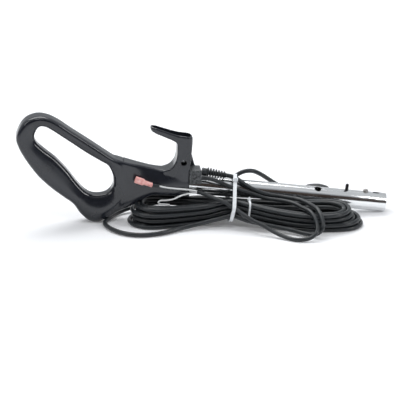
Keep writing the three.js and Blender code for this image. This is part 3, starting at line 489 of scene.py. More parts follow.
def grip_ring(bm, outer, inner, half_depth, outline):
    """A ring across the grip. The outline goes from the outer edge, -1, over the front to the inner, 1."""
    both = outline + [(along, -deep) for along, deep in reversed(outline[1:-1])]
    places = [outer.lerp(inner, (along + 1) / 2) + Vector((0, -deep * half_depth, 0)) for along, deep in both]
    return ring_through(bm, places)


print("a ring has as many points as its outline, front and back")

# %% The loop
LOOP = [
    (-251.4, 124, -226.8, 124), (-248.5, 110.5, -223.4, 115.2), (-239, 92, -212.4, 104),
    (-222, 67.8, -199, 92.6), (-204, 50, -183.2, 75), (-189, 38, -171, 58.2), (-176.5, 28, -161.6, 47),
    (-166, 13, -152.8, 40.6), (-152, 1.6, -142, 38.8), (-136, 3.5, -130.4, 41.4),
    (-117, 14.8, -122.5, 50.4), (-101, 44, -121.3, 62), (-101, 66, -124.2, 73), (-107, 83, -129, 81.4),
    (-120, 91, -138, 87.2), (-146.5, 110.2, -157.5, 99.9), (-162.5, 121.6, -173.2, 111.4),
    (-177.8, 132.4, -188.8, 122.8), (-193.5, 144, -204, 133.6), (-206, 150.8, -212, 138.2),
    (-221.5, 154, -219.8, 138.6), (-239.6, 147.2, -224.6, 132.6),
]
LOOP_DEPTH = 14
LOOP_OUTLINE = [
    (-1, 0), (-1, 0.25), (-1, 0.45), (-0.97, 0.63), (-0.9, 0.78), (-0.8, 0.875), (-0.65, 0.94),
    (-0.45, 0.98), (-0.3, 1), (-0.1, 0.985), (0.1, 0.95), (0.3, 0.9), (0.5, 0.84), (0.64, 0.8),
    (0.74, 0.76), (0.9, 0.635), (0.985, 0.54), (1, 0.3), (1, 0),
]
outline = flat_curve(LOOP_OUTLINE, 2)
outer_line = side_line(LOOP, 0, 8, closed=True)
inner_line = side_line(LOOP, 2, 8, closed=True)
grip_bm = bmesh.new()
rings = [grip_ring(grip_bm, o, i, LOOP_DEPTH * MM, outline) for o, i in zip(outer_line, inner_line)]
skin_rings(grip_bm, rings, closed=True)
print("loop:", len(rings), "rings of", len(rings[0]), "points")

# %% The neck
NECK = [
    (-19.6, 72, -19.6, 32.6, 16, 1), (-38, 73.4, -38, 35, 16, 1), (-53, 72.8, -54, 36.4, 15.6, 0.8),
    (-67, 75.2, -69, 37, 15, 0.4), (-85, 80, -86, 29, 14.3, 0.8), (-104, 85.4, -103, 20.4, 14, 1.8),
    (-118, 90.2, -119, 13.4, 13.2, 1.8),
]
LOWER_SIDE = [(0.2, 1), (0.5, 1), (0.8, 0.985), (0.93, 0.91), (0.985, 0.68), (1, 0.35), (1, 0)]
NARROW_TOP = [
    (-1, 0), (-1, 0.2), (-1, 0.38), (-0.985, 0.46), (-0.94, 0.52), (-0.8, 0.6), (-0.55, 0.735),
    (-0.3, 0.86), (0, 0.96),
] + LOWER_SIDE
WIDE_TOP = [
    (-1, 0), (-1, 0.3), (-1, 0.5), (-0.99, 0.65), (-0.95, 0.73), (-0.85, 0.78), (-0.6, 0.84),
    (-0.3, 0.91), (0, 0.97),
] + LOWER_SIDE
top_line = side_line(NECK, 0, 10)
bottom_line = side_line(NECK, 2, 10)
depth_line = curve_points([(p[4] * MM, p[5], i) for i, p in enumerate(NECK)], 10)
neck_bm = bmesh.new()
rings = []
for top, bottom, depth in zip(top_line, bottom_line, depth_line):
    share = min(max(depth.y, 0), 1.8)
    mixed = [Vector(a).lerp(Vector(b), share) for a, b in zip(NARROW_TOP, WIDE_TOP)]
    rings.append(grip_ring(neck_bm, top, bottom, depth.x, flat_curve(mixed, 2)))
skin_rings(neck_bm, rings)
print("neck:", len(rings), "rings, flat on top and wider below")

# %% Plates seen from the side: foot, hook and gusset
def reach(edge, axis):
    """How far an edge reaches along an axis."""
    return abs(edge.verts[0].co[axis] - edge.verts[1].co[axis])


def soften(bm, edges, size, segments):
    """A round of a size in millimetres along some edges."""
    bmesh.ops.bevel(
        bm, geom=edges, offset=size * MM, affect="EDGES", segments=segments, profile=0.5, material=-1,
    )


def side_plate(points, y0, y1, rounding=0.0):
    """An outline in millimetres in the side view, extruded across the part, with rounded rims."""
    bm = bmesh.new()
    face = bm.faces.new([bm.verts.new((x * MM, y0 * MM, z * MM)) for x, z in points])
    grown = bmesh.ops.extrude_face_region(bm, geom=[face])
    moved = [v for v in grown["geom"] if isinstance(v, bmesh.types.BMVert)]
    bmesh.ops.translate(bm, verts=moved, vec=(0, (y1 - y0) * MM, 0))
    bmesh.ops.recalc_face_normals(bm, faces=bm.faces)
    if rounding:
        soften(bm, [e for e in bm.edges if reach(e, 1) < 1e-7], rounding, 4)
    return bm


def hook_outline(inset, raise_top):
    """The hook from the side: up its stem, and back over the neck to a blunt tip."""
    under = flat_curve([
        (-70.6 + inset, 133.2 + raise_top), (-70.3 + inset, 128.2 + inset * 0.7),
        (-65.4 + inset * 0.4, 124.4 + inset), (-50, 117.4 + inset), (-38.8 + inset * 0.5, 112 + inset),
        (-35.6 + inset, 109.4 + inset * 0.6), (-35.2 + inset, 101), (-36 + inset, 90),
        (-39.5 + inset, 80.5), (-45 + inset, 75 - inset), (-54 + inset, 72.2 - inset),
    ], 5)
    top = flat_curve([
        (-15.8 - inset, 92), (-13.6 - inset, 115.6 + raise_top), (-14.4 - inset, 117 + raise_top),
        (-34, 121 + raise_top), (-56, 128.6 + raise_top), (-64, 131.6 + raise_top),
    ], 4)
    return under + [(-52, 60), (-19.6 - inset, 60)] + top


def turned(degrees, axis):
    """A turn about an axis as a matrix."""
    return Matrix.Rotation(math.radians(degrees), 4, axis)


def move(bm, matrix):
    """Moves a whole bmesh by a matrix."""
    bmesh.ops.transform(bm, matrix=matrix, verts=bm.verts)
    return bm


def hook_plan(inset):
    """A tall block with the hook's outline from above: round at both ends and slimmer to its tip."""
    near = [
        (-70.6 + inset, 0), (-70.1 + inset, 4 - inset * 0.5), (-68 + inset * 0.7, 6.6 - inset),
        (-61, 8 - inset), (-50, 8.9 - inset), (-36, 10 - inset), (-24, 10.6 - inset),
        (-18 - inset * 0.5, 10 - inset), (-14.6 - inset, 7.4 - inset), (-13.2 - inset, 3),
    ]
    far = [(x, -y) for x, y in reversed(near[1:])]
    bm = side_plate(flat_curve(near + far, 4, closed=True), 40, 160)
    return move(bm, turned(90, "X"))


hook_bm = side_plate(hook_outline(0, 0), -13, 13)
foot_bm = side_plate([
    (-158, 12), (-155.6, 5), (-152.4, 1.2), (-148, 0), (-141, 0), (-137.6, 1.4), (-135.6, 6), (-132, 14),
    (-150, 22),
], -8, 8, 3.2)
gusset = [(-23.6, 62), (-2.9, 62), (-2.9, 70.5), (-9.6, 71.2), (-15.4, 95), (-23.6, 95)]
gusset_bm = side_plate(gusset, 8.3, 11.3)
print("hook", len(hook_bm.faces), "faces, foot", len(foot_bm.faces), "faces")

# %% Melt them into one skin
def pour_in(target, *sources):
    """Adds the meshes of some bmeshes to another, and frees them."""
    for source in sources:
        spare = bpy.data.meshes.new("spare")
        source.to_mesh(spare)
        source.free()
        target.from_mesh(spare)
        bpy.data.meshes.remove(spare)


def with_modifiers(bm, modifiers, cutters=()):
    """A new bmesh of this one after some modifiers and, last, cuts by other bmeshes."""
    work = from_bmesh("work", bm)
    helpers = [work]
    for kind, settings in modifiers:
        modifier = work.modifiers.new(kind.lower(), kind)
        for key, value in settings.items():
            setattr(modifier, key, value)
    for cutter, operation in cutters:
        bmesh.ops.recalc_face_normals(cutter, faces=cutter.faces)
        helpers.append(from_bmesh("tool", cutter))
        modifier = work.modifiers.new("cut", "BOOLEAN")
        modifier.operation = operation
        modifier.solver = "MANIFOLD"
        modifier.object = helpers[-1]
    result = bmesh.new()
    result.from_object(work, bpy.context.evaluated_depsgraph_get())
    for spare in helpers:
        spare_mesh = spare.data
        bpy.data.objects.remove(spare)
        bpy.data.meshes.remove(spare_mesh)
    return result


def cut(bm, *tools):
    """A new bmesh of this one with others cut out of it."""
    return with_modifiers(bm, [], [(tool, "DIFFERENCE") for tool in tools])


hook_bm = with_modifiers(hook_bm, [], [(hook_plan(0), "INTERSECT")])
# The hook's stem widens from its top down into the neck.
STEM_TOP, STEM_HEIGHT, FLARE = 114 * MM, 36 * MM, 0.42
for vert in hook_bm.verts:
    vert.co.y *= 1 + FLARE * min(max((STEM_TOP - vert.co.z) / STEM_HEIGHT, 0), 1)
VOXEL = 0.95 * MM
pour_in(grip_bm, neck_bm, hook_bm, foot_bm, gusset_bm)
grip_bm = with_modifiers(grip_bm, [("REMESH", {"mode": "VOXEL", "voxel_size": VOXEL})])
for _ in range(7):
    bmesh.ops.smooth_vert(
        grip_bm, verts=grip_bm.verts, factor=0.5, use_axis_x=True, use_axis_y=True, use_axis_z=True,
    )
print("one skin of", len(grip_bm.faces), "faces")

# %% What is cut out of it
TILT = math.radians(7.6)
TUBE_RADIUS = 12.7
BORE = 26
# The tube's end rests on the floor, so its axis is about a radius up there.
TUBE_TIP = 251.4
TIP_HEIGHT = 12.59
TUBE_END = mm(TUBE_TIP - TUBE_RADIUS * math.sin(TILT), 0, TUBE_RADIUS * math.cos(TILT))
tube_frame = Matrix.Translation(TUBE_END) @ Matrix.Rotation(TILT, 4, "Y")
SCREWS = [(-236, 122, 1), (-182, 50, 1), (-143, 24, 1), (-104, 55, 1), (-26.5, 82.5, -1)]
SOCKET_SCREW_X = -48
WELL, PILOT_HOLE = 7.7, 4.2


def axis_height(x):
    """How high the tube's axis runs at a place along X, in millimetres."""
    return TIP_HEIGHT + (TUBE_TIP - x) * math.tan(TILT)


def cut_away(bm, point, side):
    """Cuts a mesh at a plane and drops what lies beyond it."""
    everything = bm.verts[:] + bm.edges[:] + bm.faces[:]
    bmesh.ops.bisect_plane(bm, geom=everything, plane_co=point, plane_no=side, clear_outer=True)


def along_way(way, axis="Z", up="Y"):
    """The turn that points one axis of a thing along a way."""
    return way.to_track_quat(axis, up).to_matrix().to_4x4()


def pin(start, end, diameter, sides=32):
    """A round bar between two points, in millimetres."""
    start, end = Vector(start) * MM, Vector(end) * MM
    bm = bmesh.new()
    place = Matrix.Translation((start + end) / 2) @ along_way(end - start)
    radius = diameter * MM / 2
    bmesh.ops.create_cone(
        bm, cap_ends=True, segments=sides, radius1=radius, radius2=radius, depth=(end - start).length,
        matrix=place,
    )
    return bm


hollow = side_plate(hook_outline(2.3, 14), -10.6, 10.6)
cut_away(hollow, (0, 0, 88 * MM), (0, 0, -1))
bmesh.ops.holes_fill(hollow, edges=[e for e in hollow.edges if e.is_boundary])
hollow = with_modifiers(hollow, [], [(hook_plan(1.9), "INTERSECT")])
rib = side_plate([(-25, 60), (-23, 60), (-23, 112), (-25, 112)], -9.4, 9.4)
tools = []
for x, z, side in SCREWS:
    tools.append(pin((x, side * 2.7, z), (x, side * 30, z), WELL))
    tools.append(pin((x, side * 3.5, z), (x, -side * 10, z), PILOT_HOLE, 20))
screw_z = axis_height(SOCKET_SCREW_X)
tools.append(pin((SOCKET_SCREW_X, 13, screw_z), (SOCKET_SCREW_X, 30, screw_z), WELL))
tools.append(move(pin((-334.6, 0, 0), (10, 0, 0), BORE, 96), tube_frame))
print(len(tools), "round bars for screws and tube")

# %% The line round the finger opening, and the seam on the neck
def at(x, y, z):
    """A place in millimetres, as a matrix that moves things there."""
    return Matrix.Translation(mm(x, y, z))


GROOVE_ALONG, GROOVE_DEEP = 0.93, 0.62
GROOVE_RADIUS = 0.9
for side in (-1, 1):
    groove = bmesh.new()
    deep = Vector((0, side * GROOVE_DEEP * LOOP_DEPTH * MM, 0))
    line = [o.lerp(i, (GROOVE_ALONG + 1) / 2) + deep for o, i in zip(outer_line, inner_line)]
    rings = []
    for before, here, after in zip(line[-1:] + line, line, line[1:] + line[:1]):
        ahead = (after - before).normalized()
        ring = bmesh.ops.create_circle(groove, segments=8, radius=GROOVE_RADIUS * MM)["verts"]
        place = Matrix.Translation(here) @ along_way(ahead)
        bmesh.ops.transform(groove, matrix=place, verts=ring)
        rings.append(ring)
    skin_rings(groove, rings, closed=True)
    tools.append(groove)
seam = side_plate([(-0.5, -1.8), (0.5, -1.8), (0.5, 6), (-0.5, 6)], -9, 16)
tools.append(move(seam, at(-107.4, 0, 86.4) @ turned(17, "Y")))
cutters = [(hollow, "DIFFERENCE"), (rib, "UNION")] + [(tool, "DIFFERENCE") for tool in tools]
grip_bm = with_modifiers(grip_bm, [], cutters)
print("after the cuts:", len(grip_bm.faces), "faces")

# %% Parting plane
def half_of(bm, side):
    """The half of a closed mesh on one side of the middle plane, closed again and clear of the other."""
    half = bm.copy()
    cut_away(half, (0, side * 0.15 * MM, 0), (0, -side, 0))
    bmesh.ops.triangle_fill(half, use_beauty=True, edges=[e for e in half.edges if e.is_boundary])
    bmesh.ops.recalc_face_normals(half, faces=half.faces)
    return half


def finish_piece(name, bm, material, degrees=32, body="handle"):
    """A piece that rides on a body of the frame, shaded smooth up to edges sharper than an angle."""
    piece = from_bmesh(name, bm)
    piece.data.shade_smooth()
    piece.data.set_sharp_from_angle(angle=math.radians(degrees))
    piece.data.materials.append(material)
    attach(piece, body)
    return piece


for name, side, node in (
    ("grip_front_skin", -1, "grip_front_shell"), ("grip_back_skin", 1, "grip_back_shell"),
):
    skin = finish_piece(name, half_of(grip_bm, side), polished_abs)
    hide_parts(node)
    print(name, len(skin.data.polygons), "faces")
grip_bm.free()

# %% [markdown]
# ## Chrome tube
# The tube is drawn steel, polished and chromed: a mirror with fine marks along its length, left
# by years of sliding through a clip. So it is a metal with almost no roughness of its own, and
# a noise stretched forty times along the tube varies the gloss and stirs the normal a little.
# It is warm where it is dark, because what it mirrors there is the wooden side of the room.

# %% Chrome with drawn streaks
chrome, tree = new_material("drawn_chromed_steel")
place = add_node(tree, "TexCoord").outputs["Object"]
along = add_node(
    tree, "Mapping", {"vector_type": "TEXTURE"}, Vector=place, Rotation=(0, TILT, 0), Scale=(40, 1, 1),
)
streaks = add_node(tree, "TexNoise", Vector=along, Scale=1 / (1.5 * MM), Detail=4.0, Roughness=0.6)
blotches = add_node(tree, "TexNoise", Vector=place, Scale=1 / (18 * MM), Detail=3.0)
both = add_node(tree, "Math", {"operation": "MULTIPLY_ADD"}, in_0=blotches, in_1=0.5, in_2=streaks)
rough = add_node(tree, "MapRange", Value=both, From_Min=0.6, From_Max=0.95, To_Min=0.12, To_Max=0.21)
colour = with_stops(add_node(tree, "ValToRGB", Fac=streaks), [(0.35, "#dcdee0"), (0.6, "#f1f2f3")])
relief = add_node(tree, "Bump", Height=streaks, Strength=0.18, Distance=0.01 * MM)
metal = add_node(tree, "BsdfPrincipled", Base_Color=colour, Metallic=1.0, Roughness=rough, Normal=relief)
add_node(tree, "OutputMaterial", Surface=metal)
print("chrome ready")

# %% [markdown]
# The CAD tube has forty flat sides, which would break its mirror into strips. The piece that
# replaces it is spun with 128 sides as one closed wall, and its ends have the small round that a
# cutter leaves. The drain hole, the slot and the other holes are cut by round bars.

# %% Tube
TUBE_LENGTH = (TUBE_TIP + 80) / math.cos(TILT)
WALL = 1.3
BUTTON_AT, BOLT_AT = -28.5, -55


def spun(profile, steps, axis=(1, 0, 0)):
    """A closed outline in the XZ plane spun once round an axis through the origin."""
    bm = bmesh.new()
    verts = [bm.verts.new((x * MM, 0, z * MM)) for x, z in profile]
    edges = [bm.edges.new(pair) for pair in zip(verts, verts[1:])]
    bmesh.ops.spin(
        bm, geom=verts + edges, cent=(0, 0, 0), axis=axis, angle=math.tau, steps=steps, use_merge=True,
    )
    bmesh.ops.remove_doubles(bm, verts=bm.verts, dist=1e-6)
    bmesh.ops.recalc_face_normals(bm, faces=bm.faces)
    return bm


inside = TUBE_RADIUS - WALL
tube_profile = [
    (0, inside + 0.25), (0, TUBE_RADIUS - 0.4), (-0.12, TUBE_RADIUS - 0.12), (-0.4, TUBE_RADIUS),
    (-100, TUBE_RADIUS), (-220, TUBE_RADIUS), (0.4 - TUBE_LENGTH, TUBE_RADIUS),
    (-TUBE_LENGTH, TUBE_RADIUS - 0.4), (-TUBE_LENGTH, inside + 0.25), (0.25 - TUBE_LENGTH, inside),
    (-0.25, inside), (0, inside + 0.25),
]


def block(x, y, z, place):
    """A block with these sides in millimetres, placed by a matrix."""
    bm = bmesh.new()
    bmesh.ops.create_cube(bm, size=1, matrix=place @ Matrix.Diagonal((x * MM, y * MM, z * MM, 1)))
    return bm


slot = block(11, 5.4, 15, at(-14.5, 0, 12.5))
soften(slot, [e for e in slot.edges if reach(e, 2) > 1 * MM], 2.65, 10)
drain_hole = pin((-95, -1.8, 5), (-95, -7, 20), 10, 48)
bolt_hole = pin((BOLT_AT, 0, -20), (BOLT_AT, 0, 20), 5.4)
button_hole = pin((BUTTON_AT, 0, 0), (BUTTON_AT, 0, 20), 7.6)
tube_bm = cut(spun(tube_profile, 128), drain_hole, slot, bolt_hole, button_hole)
tube = finish_piece("tube", move(tube_bm, tube_frame), chrome, 30)
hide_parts("chrome_tube")
print("tube:", len(tube.data.polygons), "faces,", round(TUBE_LENGTH, 1), "mm long")

# %% [markdown]
# ## Bolt, button and screws
# The bolt is blackened steel, and the button is bright steel, worn by the tube it snaps into. The
# bolt's thread is a zigzag profile spun with a rise of one pitch for each turn, which is a true
# screw. The housing screws are zinc plated with a cross recess, sunk in wells on the back.

# %% Steels
def bare_metal(name, dark, light, gloss, size):
    """A metal whose skin changes colour and gloss in patches of one size."""
    material, tree = new_material(name)
    place = add_node(tree, "TexCoord").outputs["Object"]
    patches = add_node(tree, "TexNoise", Vector=place, Scale=1 / size, Detail=5.0, Roughness=0.6)
    colour = with_stops(add_node(tree, "ValToRGB", Fac=patches), [(0.35, dark), (0.65, light)])
    low, high = gloss
    rough = add_node(tree, "MapRange", Value=patches, From_Min=0.3, From_Max=0.7, To_Min=low, To_Max=high)
    skin = add_node(tree, "BsdfPrincipled", Base_Color=colour, Metallic=1.0, Roughness=rough)
    add_node(tree, "OutputMaterial", Surface=skin)
    return material


blackened_steel = bare_metal("blackened_steel", "#222124", "#4a4849", (0.3, 0.5), 2.5 * MM)
zinc_plate = bare_metal("zinc_plated_steel", "#a6a9ad", "#d2d4d6", (0.22, 0.38), 1.5 * MM)
button_steel = bare_metal("worn_bright_steel", "#7b7977", "#aba9a6", (0.24, 0.4), 2.5 * MM)
brass_sheet = bare_metal("stamped_brass", "#b08d4c", "#dcb76c", (0.2, 0.34), 3 * MM)
spring_steel = bare_metal("rolled_spring_steel", "#77797c", "#a2a4a6", (0.28, 0.42), 4 * MM)
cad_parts["terminal_receptacle"].data.materials[0] = brass_sheet
print("five metals")

# %% Bolt
PITCH = 0.8
TURNS_OF_THREAD = 14
UPRIGHT = (0, 0, 1)
half = TUBE_RADIUS + 0.3
top = TUBE_RADIUS + 8.3
thread_foot = top - PITCH * TURNS_OF_THREAD
head = spun([
    (0, -half - 2.6), (2.4, -half - 2.5), (4.1, -half - 1.9), (5, -half - 0.9), (5, -half), (0, -half),
], 32, UPRIGHT)
shank = spun([(0, -half), (2.4, -half), (2.4, thread_foot), (0, thread_foot)], 32, UPRIGHT)
tip = spun([
    (0, thread_foot - 0.2), (1.95, thread_foot - 0.2), (1.95, top - 1.4), (1.4, top - 0.15), (1.2, top),
    (0, top),
], 32, UPRIGHT)
thread = bmesh.new()
zigzag = []
for i in range(2 * TURNS_OF_THREAD):
    z = thread_foot - 0.4 + PITCH * i / 2
    near_tip = max(0.0, (z - (top - 1.6)) / 1.6)
    radius = (2.38 if i % 2 else 1.95) * (1 - 0.25 * near_tip)
    zigzag.append(thread.verts.new((radius * MM, 0, z * MM)))
lines = [thread.edges.new(pair) for pair in zip(zigzag, zigzag[1:])]
bmesh.ops.spin(
    thread, geom=zigzag + lines, cent=(0, 0, 0), axis=UPRIGHT, dvec=(0, 0, PITCH * MM / 32),
    angle=math.tau, steps=32, use_merge=False,
)
bmesh.ops.remove_doubles(thread, verts=thread.verts, dist=0.02 * MM)
bolt_bm = bmesh.new()
pour_in(bolt_bm, head, shank, thread, tip)
bolt = finish_piece("bolt", move(bolt_bm, tube_frame @ at(BOLT_AT, 0, 0)), blackened_steel, 50)
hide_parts("hitch_bolt")
print("bolt:", TURNS_OF_THREAD, "turns of thread")

# %% Button
button_bm = spun([
    (0, 8.9), (4.4, 8.9), (4.4, 10.1), (3.5, 10.1), (3.5, 14), (3.42, 14.6), (3.2, 15.15), (2.75, 15.6),
    (2.1, 15.9), (1.2, 16.05), (0, 16.1),
], 40, UPRIGHT)
move(button_bm, tube_frame @ at(BUTTON_AT, 0, 0))
button = finish_piece("button", button_bm, button_steel, 40, body="button")
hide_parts("snap_button")

# %% [markdown]
# Behind the button sits a hairpin of rolled spring steel, one leaf under the button and the other
# on the tube's floor. When the button is pressed its leaf gives way. The piece is built here in its
# rest shape, with a mesh of its own.

# %% Leaf spring
LEAF = 0.7
leaf_top, leaf_floor = 8.6, -10.7
bend = (leaf_top - leaf_floor) / 2


def hairpin_bend(radius):
    """The round end of the hairpin, from its upper leaf to its lower one."""
    angles = [math.pi * (0.5 + i / 18) for i in range(19)]
    return [(-38.5 + radius * math.cos(a), leaf_top - bend + radius * math.sin(a)) for a in angles]


lower_end = [(-27, leaf_floor), (-27, leaf_floor + LEAF)]
hairpin = [(-25, leaf_top)] + hairpin_bend(bend) + lower_end + hairpin_bend(bend - LEAF)[::-1]
spring_bm = side_plate(hairpin + [(-25, leaf_top - LEAF)], -3, 3)
spring = finish_piece("leaf_spring", move(spring_bm, tube_frame), spring_steel, 30)
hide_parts("button_spring")
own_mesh(spring)

# %% Screws
def screw(length):
    """A pan-head screw that points down Z, with the underside of its head at the origin."""
    bm = spun([
        (0, 2.4), (1.6, 2.35), (2.6, 2.1), (3.25, 1.55), (3.5, 0.8), (3.5, 0), (1.75, 0),
        (1.75, -length + 2), (0.3, -length), (0, -length),
    ], 24, UPRIGHT)
    bars = [block(3.6, 0.9, 2.6, turned(turn, "Z") @ at(0, 0, 2.4)) for turn in (0, 90)]
    return cut(bm, *bars)


rows = [(f"shell_screw_{i + 1}", *place, 3, 12) for i, place in enumerate(SCREWS)]
rows.append(("socket_screw", SOCKET_SCREW_X, screw_z, 1, TUBE_RADIUS + 0.3, 10))
for i, (name, x, z, side, seat, length) in enumerate(rows):
    turn = turned(-side * 90, "X") @ Matrix.Rotation(0.7 * i, 4, "Z")
    bm = move(screw(length), at(x, side * seat, z) @ turn)
    piece = finish_piece("zinc_" + name, bm, zinc_plate, 35)
    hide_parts(name)
print("six screws")

# %% [markdown]
# ## Cord clamp and strain relief
# A saddle of the same plastic closes the socket and holds the cord. Its front has a sunk panel
# from a sparked mould, so it looks rough beside the grip. The relief is a rubber sleeve of seven
# discs on a thin core, spun from one profile: the deep grooves between the discs let it bend.

# %% Clamp
CLAMP_AXIS = axis_height(-11.1)
CLAMP_TOP = CLAMP_AXIS + TUBE_RADIUS + 11.7
CLAMP_FOOT = CLAMP_AXIS + 5.4


def upright_plate(x0, x1, z0, z1, y0, y1):
    """A rectangular plate that faces the front."""
    return side_plate([(x0, z0), (x1, z0), (x1, z1), (x0, z1)], y0, y1)


clamp_bm = side_plate([
    (-19.3, CLAMP_FOOT), (-2.9, CLAMP_FOOT), (-2.9, CLAMP_TOP - 1), (-3.9, CLAMP_TOP), (-19.3, CLAMP_TOP),
], -16, 8)
soften(clamp_bm, clamp_bm.edges, 0.6, 3)
bore = move(pin((-320, 0, 0), (0, 0, 0), BORE, 96), tube_frame)
panel = upright_plate(-16.7, -5.5, CLAMP_FOOT + 3, CLAMP_TOP - 4, -17, -15.2)
clamp_bm = cut(clamp_bm, bore, panel)
for sides in (
    (-15.9, -11.5, 56.6, 60.4), (-10.4, -6.3, 57.4, 62.8), (-15.2, -12.6, 62.4, 66.6), (-11, -8.2, 64.6, 67),
):
    pad = upright_plate(*sides, -15.75, -15.1)
    soften(pad, pad.edges, 0.2, 2)
    pour_in(clamp_bm, pad)
clamp = finish_piece("clamp", clamp_bm, sparked_abs, 35)
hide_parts("cord_clamp")
print("clamp stands", round(CLAMP_TOP - CLAMP_AXIS, 1), "mm over the tube's axis")

# %% Strain relief
def pointing(start, end):
    """The frame whose X axis runs from one point to another."""
    return at(*start) @ along_way(Vector(end) - Vector(start), "X", "Z")


relief_start = Vector((-1.4, -4, 0))
relief_end = Vector((31.3, -4, 0))
for point, radius, rise in ((relief_start, 6, 1.8), (relief_end, 4.7, 0.7)):
    point.z = axis_height(point.x) + TUBE_RADIUS / math.cos(TILT) + radius + rise
relief_length = (relief_end - relief_start).length
profile = [(0, 0), (0, 5.2), (0.5, 5.5), (6.4, 5.3), (6.6, 4.0)]
DISCS = 7
pitch = (relief_length - 7) / DISCS
for i in range(DISCS):
    x = 7 + i * pitch
    radius = 6.8 + (5.1 - 6.8) * i / (DISCS - 1)
    core = 3.3 - 0.02 * i
    far = x + pitch * 0.46
    profile += [(x, core), (x + 0.15, radius - 0.2), (x + 0.4, radius)]
    profile += [(far - 0.3, radius), (far, radius - 0.25), (x + pitch * 0.5, core)]
profile += [(relief_length - 0.1, 3.5), (relief_length - 0.1, 0)]
relief_bm = move(spun(profile, 48), pointing(relief_start, relief_end))
relief_sleeve = finish_piece("relief", relief_bm, cord_pvc, 35)
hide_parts("strain_relief")
print("relief:", round(relief_length, 1), "mm, discs", round(pitch, 2), "mm apart")

# %% [markdown]
# ## Plug
# The plug is moulded on the cord in the same PVC. It stands on its edge behind the tube, so only
# the top of its body shows from the front, and the rest from behind. Squarish rings of growing
# size make the ribbed sleeve and the body, and the blades are brass stampings with a round hole.

# %% Rings across a piece that points along X
def squarish_ring(bm, x, half_z, half_y, squareness, sides):
    """A ring round the X axis. Squareness 2 is an ellipse, and higher is nearer a rectangle."""
    places = []
    for i in range(sides):
        c, s = math.cos(i / sides * math.tau), math.sin(i / sides * math.tau)
        along = math.copysign(abs(c) ** (2 / squareness), c)
        across = math.copysign(abs(s) ** (2 / squareness), s)
        places.append(mm(x, across * half_y, along * half_z))
    return ring_through(bm, places)


def ring_piece(rows, frame_matrix, squareness, sides=40):
    """Rings from rows of (x, half height, half depth), skinned and placed."""
    bm = bmesh.new()
    skin_rings(bm, [squarish_ring(bm, *row, squareness, sides) for row in rows])
    return move(bm, frame_matrix)


PLUG_DIP = 6
plug_z = 0.4 + 12 * math.cos(math.radians(PLUG_DIP)) + 27 * math.sin(math.radians(PLUG_DIP))
plug_frame = at(151, 46.4, plug_z) @ turned(-8, "Z") @ turned(PLUG_DIP, "Y")
rows = [(-14, 3.2, 3.2)]
for i in range(3):
    r = 4.2 + i * 0.5
    x = -14 + i * 2.6
    for step, less in ((0, 0.25), (0.2, 0), (1.3, 0), (1.5, 0.3), (1.7, 0.9), (2.4, 0.9)):
        rows.append((x + step, r - less, r - less))
rows += [
    (-6, 5.8, 4.8), (-5, 7.6, 5.2), (-2.5, 9.2, 5.7), (2, 10.6, 6.5), (7, 11.5, 7.2), (13, 12, 7.9),
    (17, 11.6, 7.8), (19, 11.3, 7.8), (20.6, 11, 8), (23.4, 10.3, 8), (25.6, 9.5, 7.9), (26.5, 9, 7.6),
    (27, 8.4, 7.1),
]
plug_bm = ring_piece(rows, plug_frame, 3)
plug = finish_piece("moulded_plug", plug_bm, cord_pvc, 40)
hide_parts("plug_body")
print("plug from", len(rows), "rings")

# %% Blades
BLADE_OFFSET = 6.35
for i, z in enumerate((BLADE_OFFSET, -BLADE_OFFSET)):
    bm = block(22.2, 6.35, 1.5, at(32.4, 0, z))
    far = [e for e in bm.edges if min(v.co.x for v in e.verts) > 40 * MM]
    soften(bm, [e for e in far if reach(e, 2) > 1 * MM], 1.7, 2)
    soften(bm, [e for e in bm.edges if reach(e, 2) < 0.1 * MM], 0.2, 2)
    bm = cut(bm, pin((38.9, 0, z - 3), (38.9, 0, z + 3), 3.2))
    blade = finish_piece(f"brass_blade_{i + 1}", move(bm, plug_frame), brass_sheet, 30)
    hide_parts(f"plug_blade_{i + 1}")
print("two blades, 12.7 mm apart")

# %% [markdown]
# ## Wire sleeve and terminal
# The upper wire ends in a push-on terminal with a pink nylon sleeve. The nylon lets light in, so
# it gets some subsurface scattering and a clear, wavy skin, and its crimped barrel has two flat
# dents. Between wire and barrel sits a black shrink sleeve, slightly lumpy from the hot air.

# %% Pink nylon
pink_nylon, tree = new_material("moulded_pink_nylon")
place = add_node(tree, "TexCoord").outputs["Object"]
clouds = add_node(tree, "TexNoise", Vector=place, Scale=1 / (3.2 * MM), Detail=4.0, Roughness=0.6)
pinks = [(0.3, "#ea9c97"), (0.5, "#f6b5b0"), (0.72, "#fdd3ce")]
colour = with_stops(add_node(tree, "ValToRGB", Fac=clouds), pinks)
ripple = add_node(tree, "Bump", Height=clouds, Strength=0.5, Distance=0.3 * MM)
nylon = add_node(tree, "BsdfPrincipled", Base_Color=colour, Roughness=0.22, IOR=1.53, Normal=ripple)
nylon.inputs["Subsurface Weight"].default_value = 0.25
nylon.inputs["Subsurface Radius"].default_value = (1.0, 0.35, 0.3)
nylon.inputs["Subsurface Scale"].default_value = 1.5 * MM
add_node(tree, "OutputMaterial", Surface=nylon)
print("pink nylon ready")

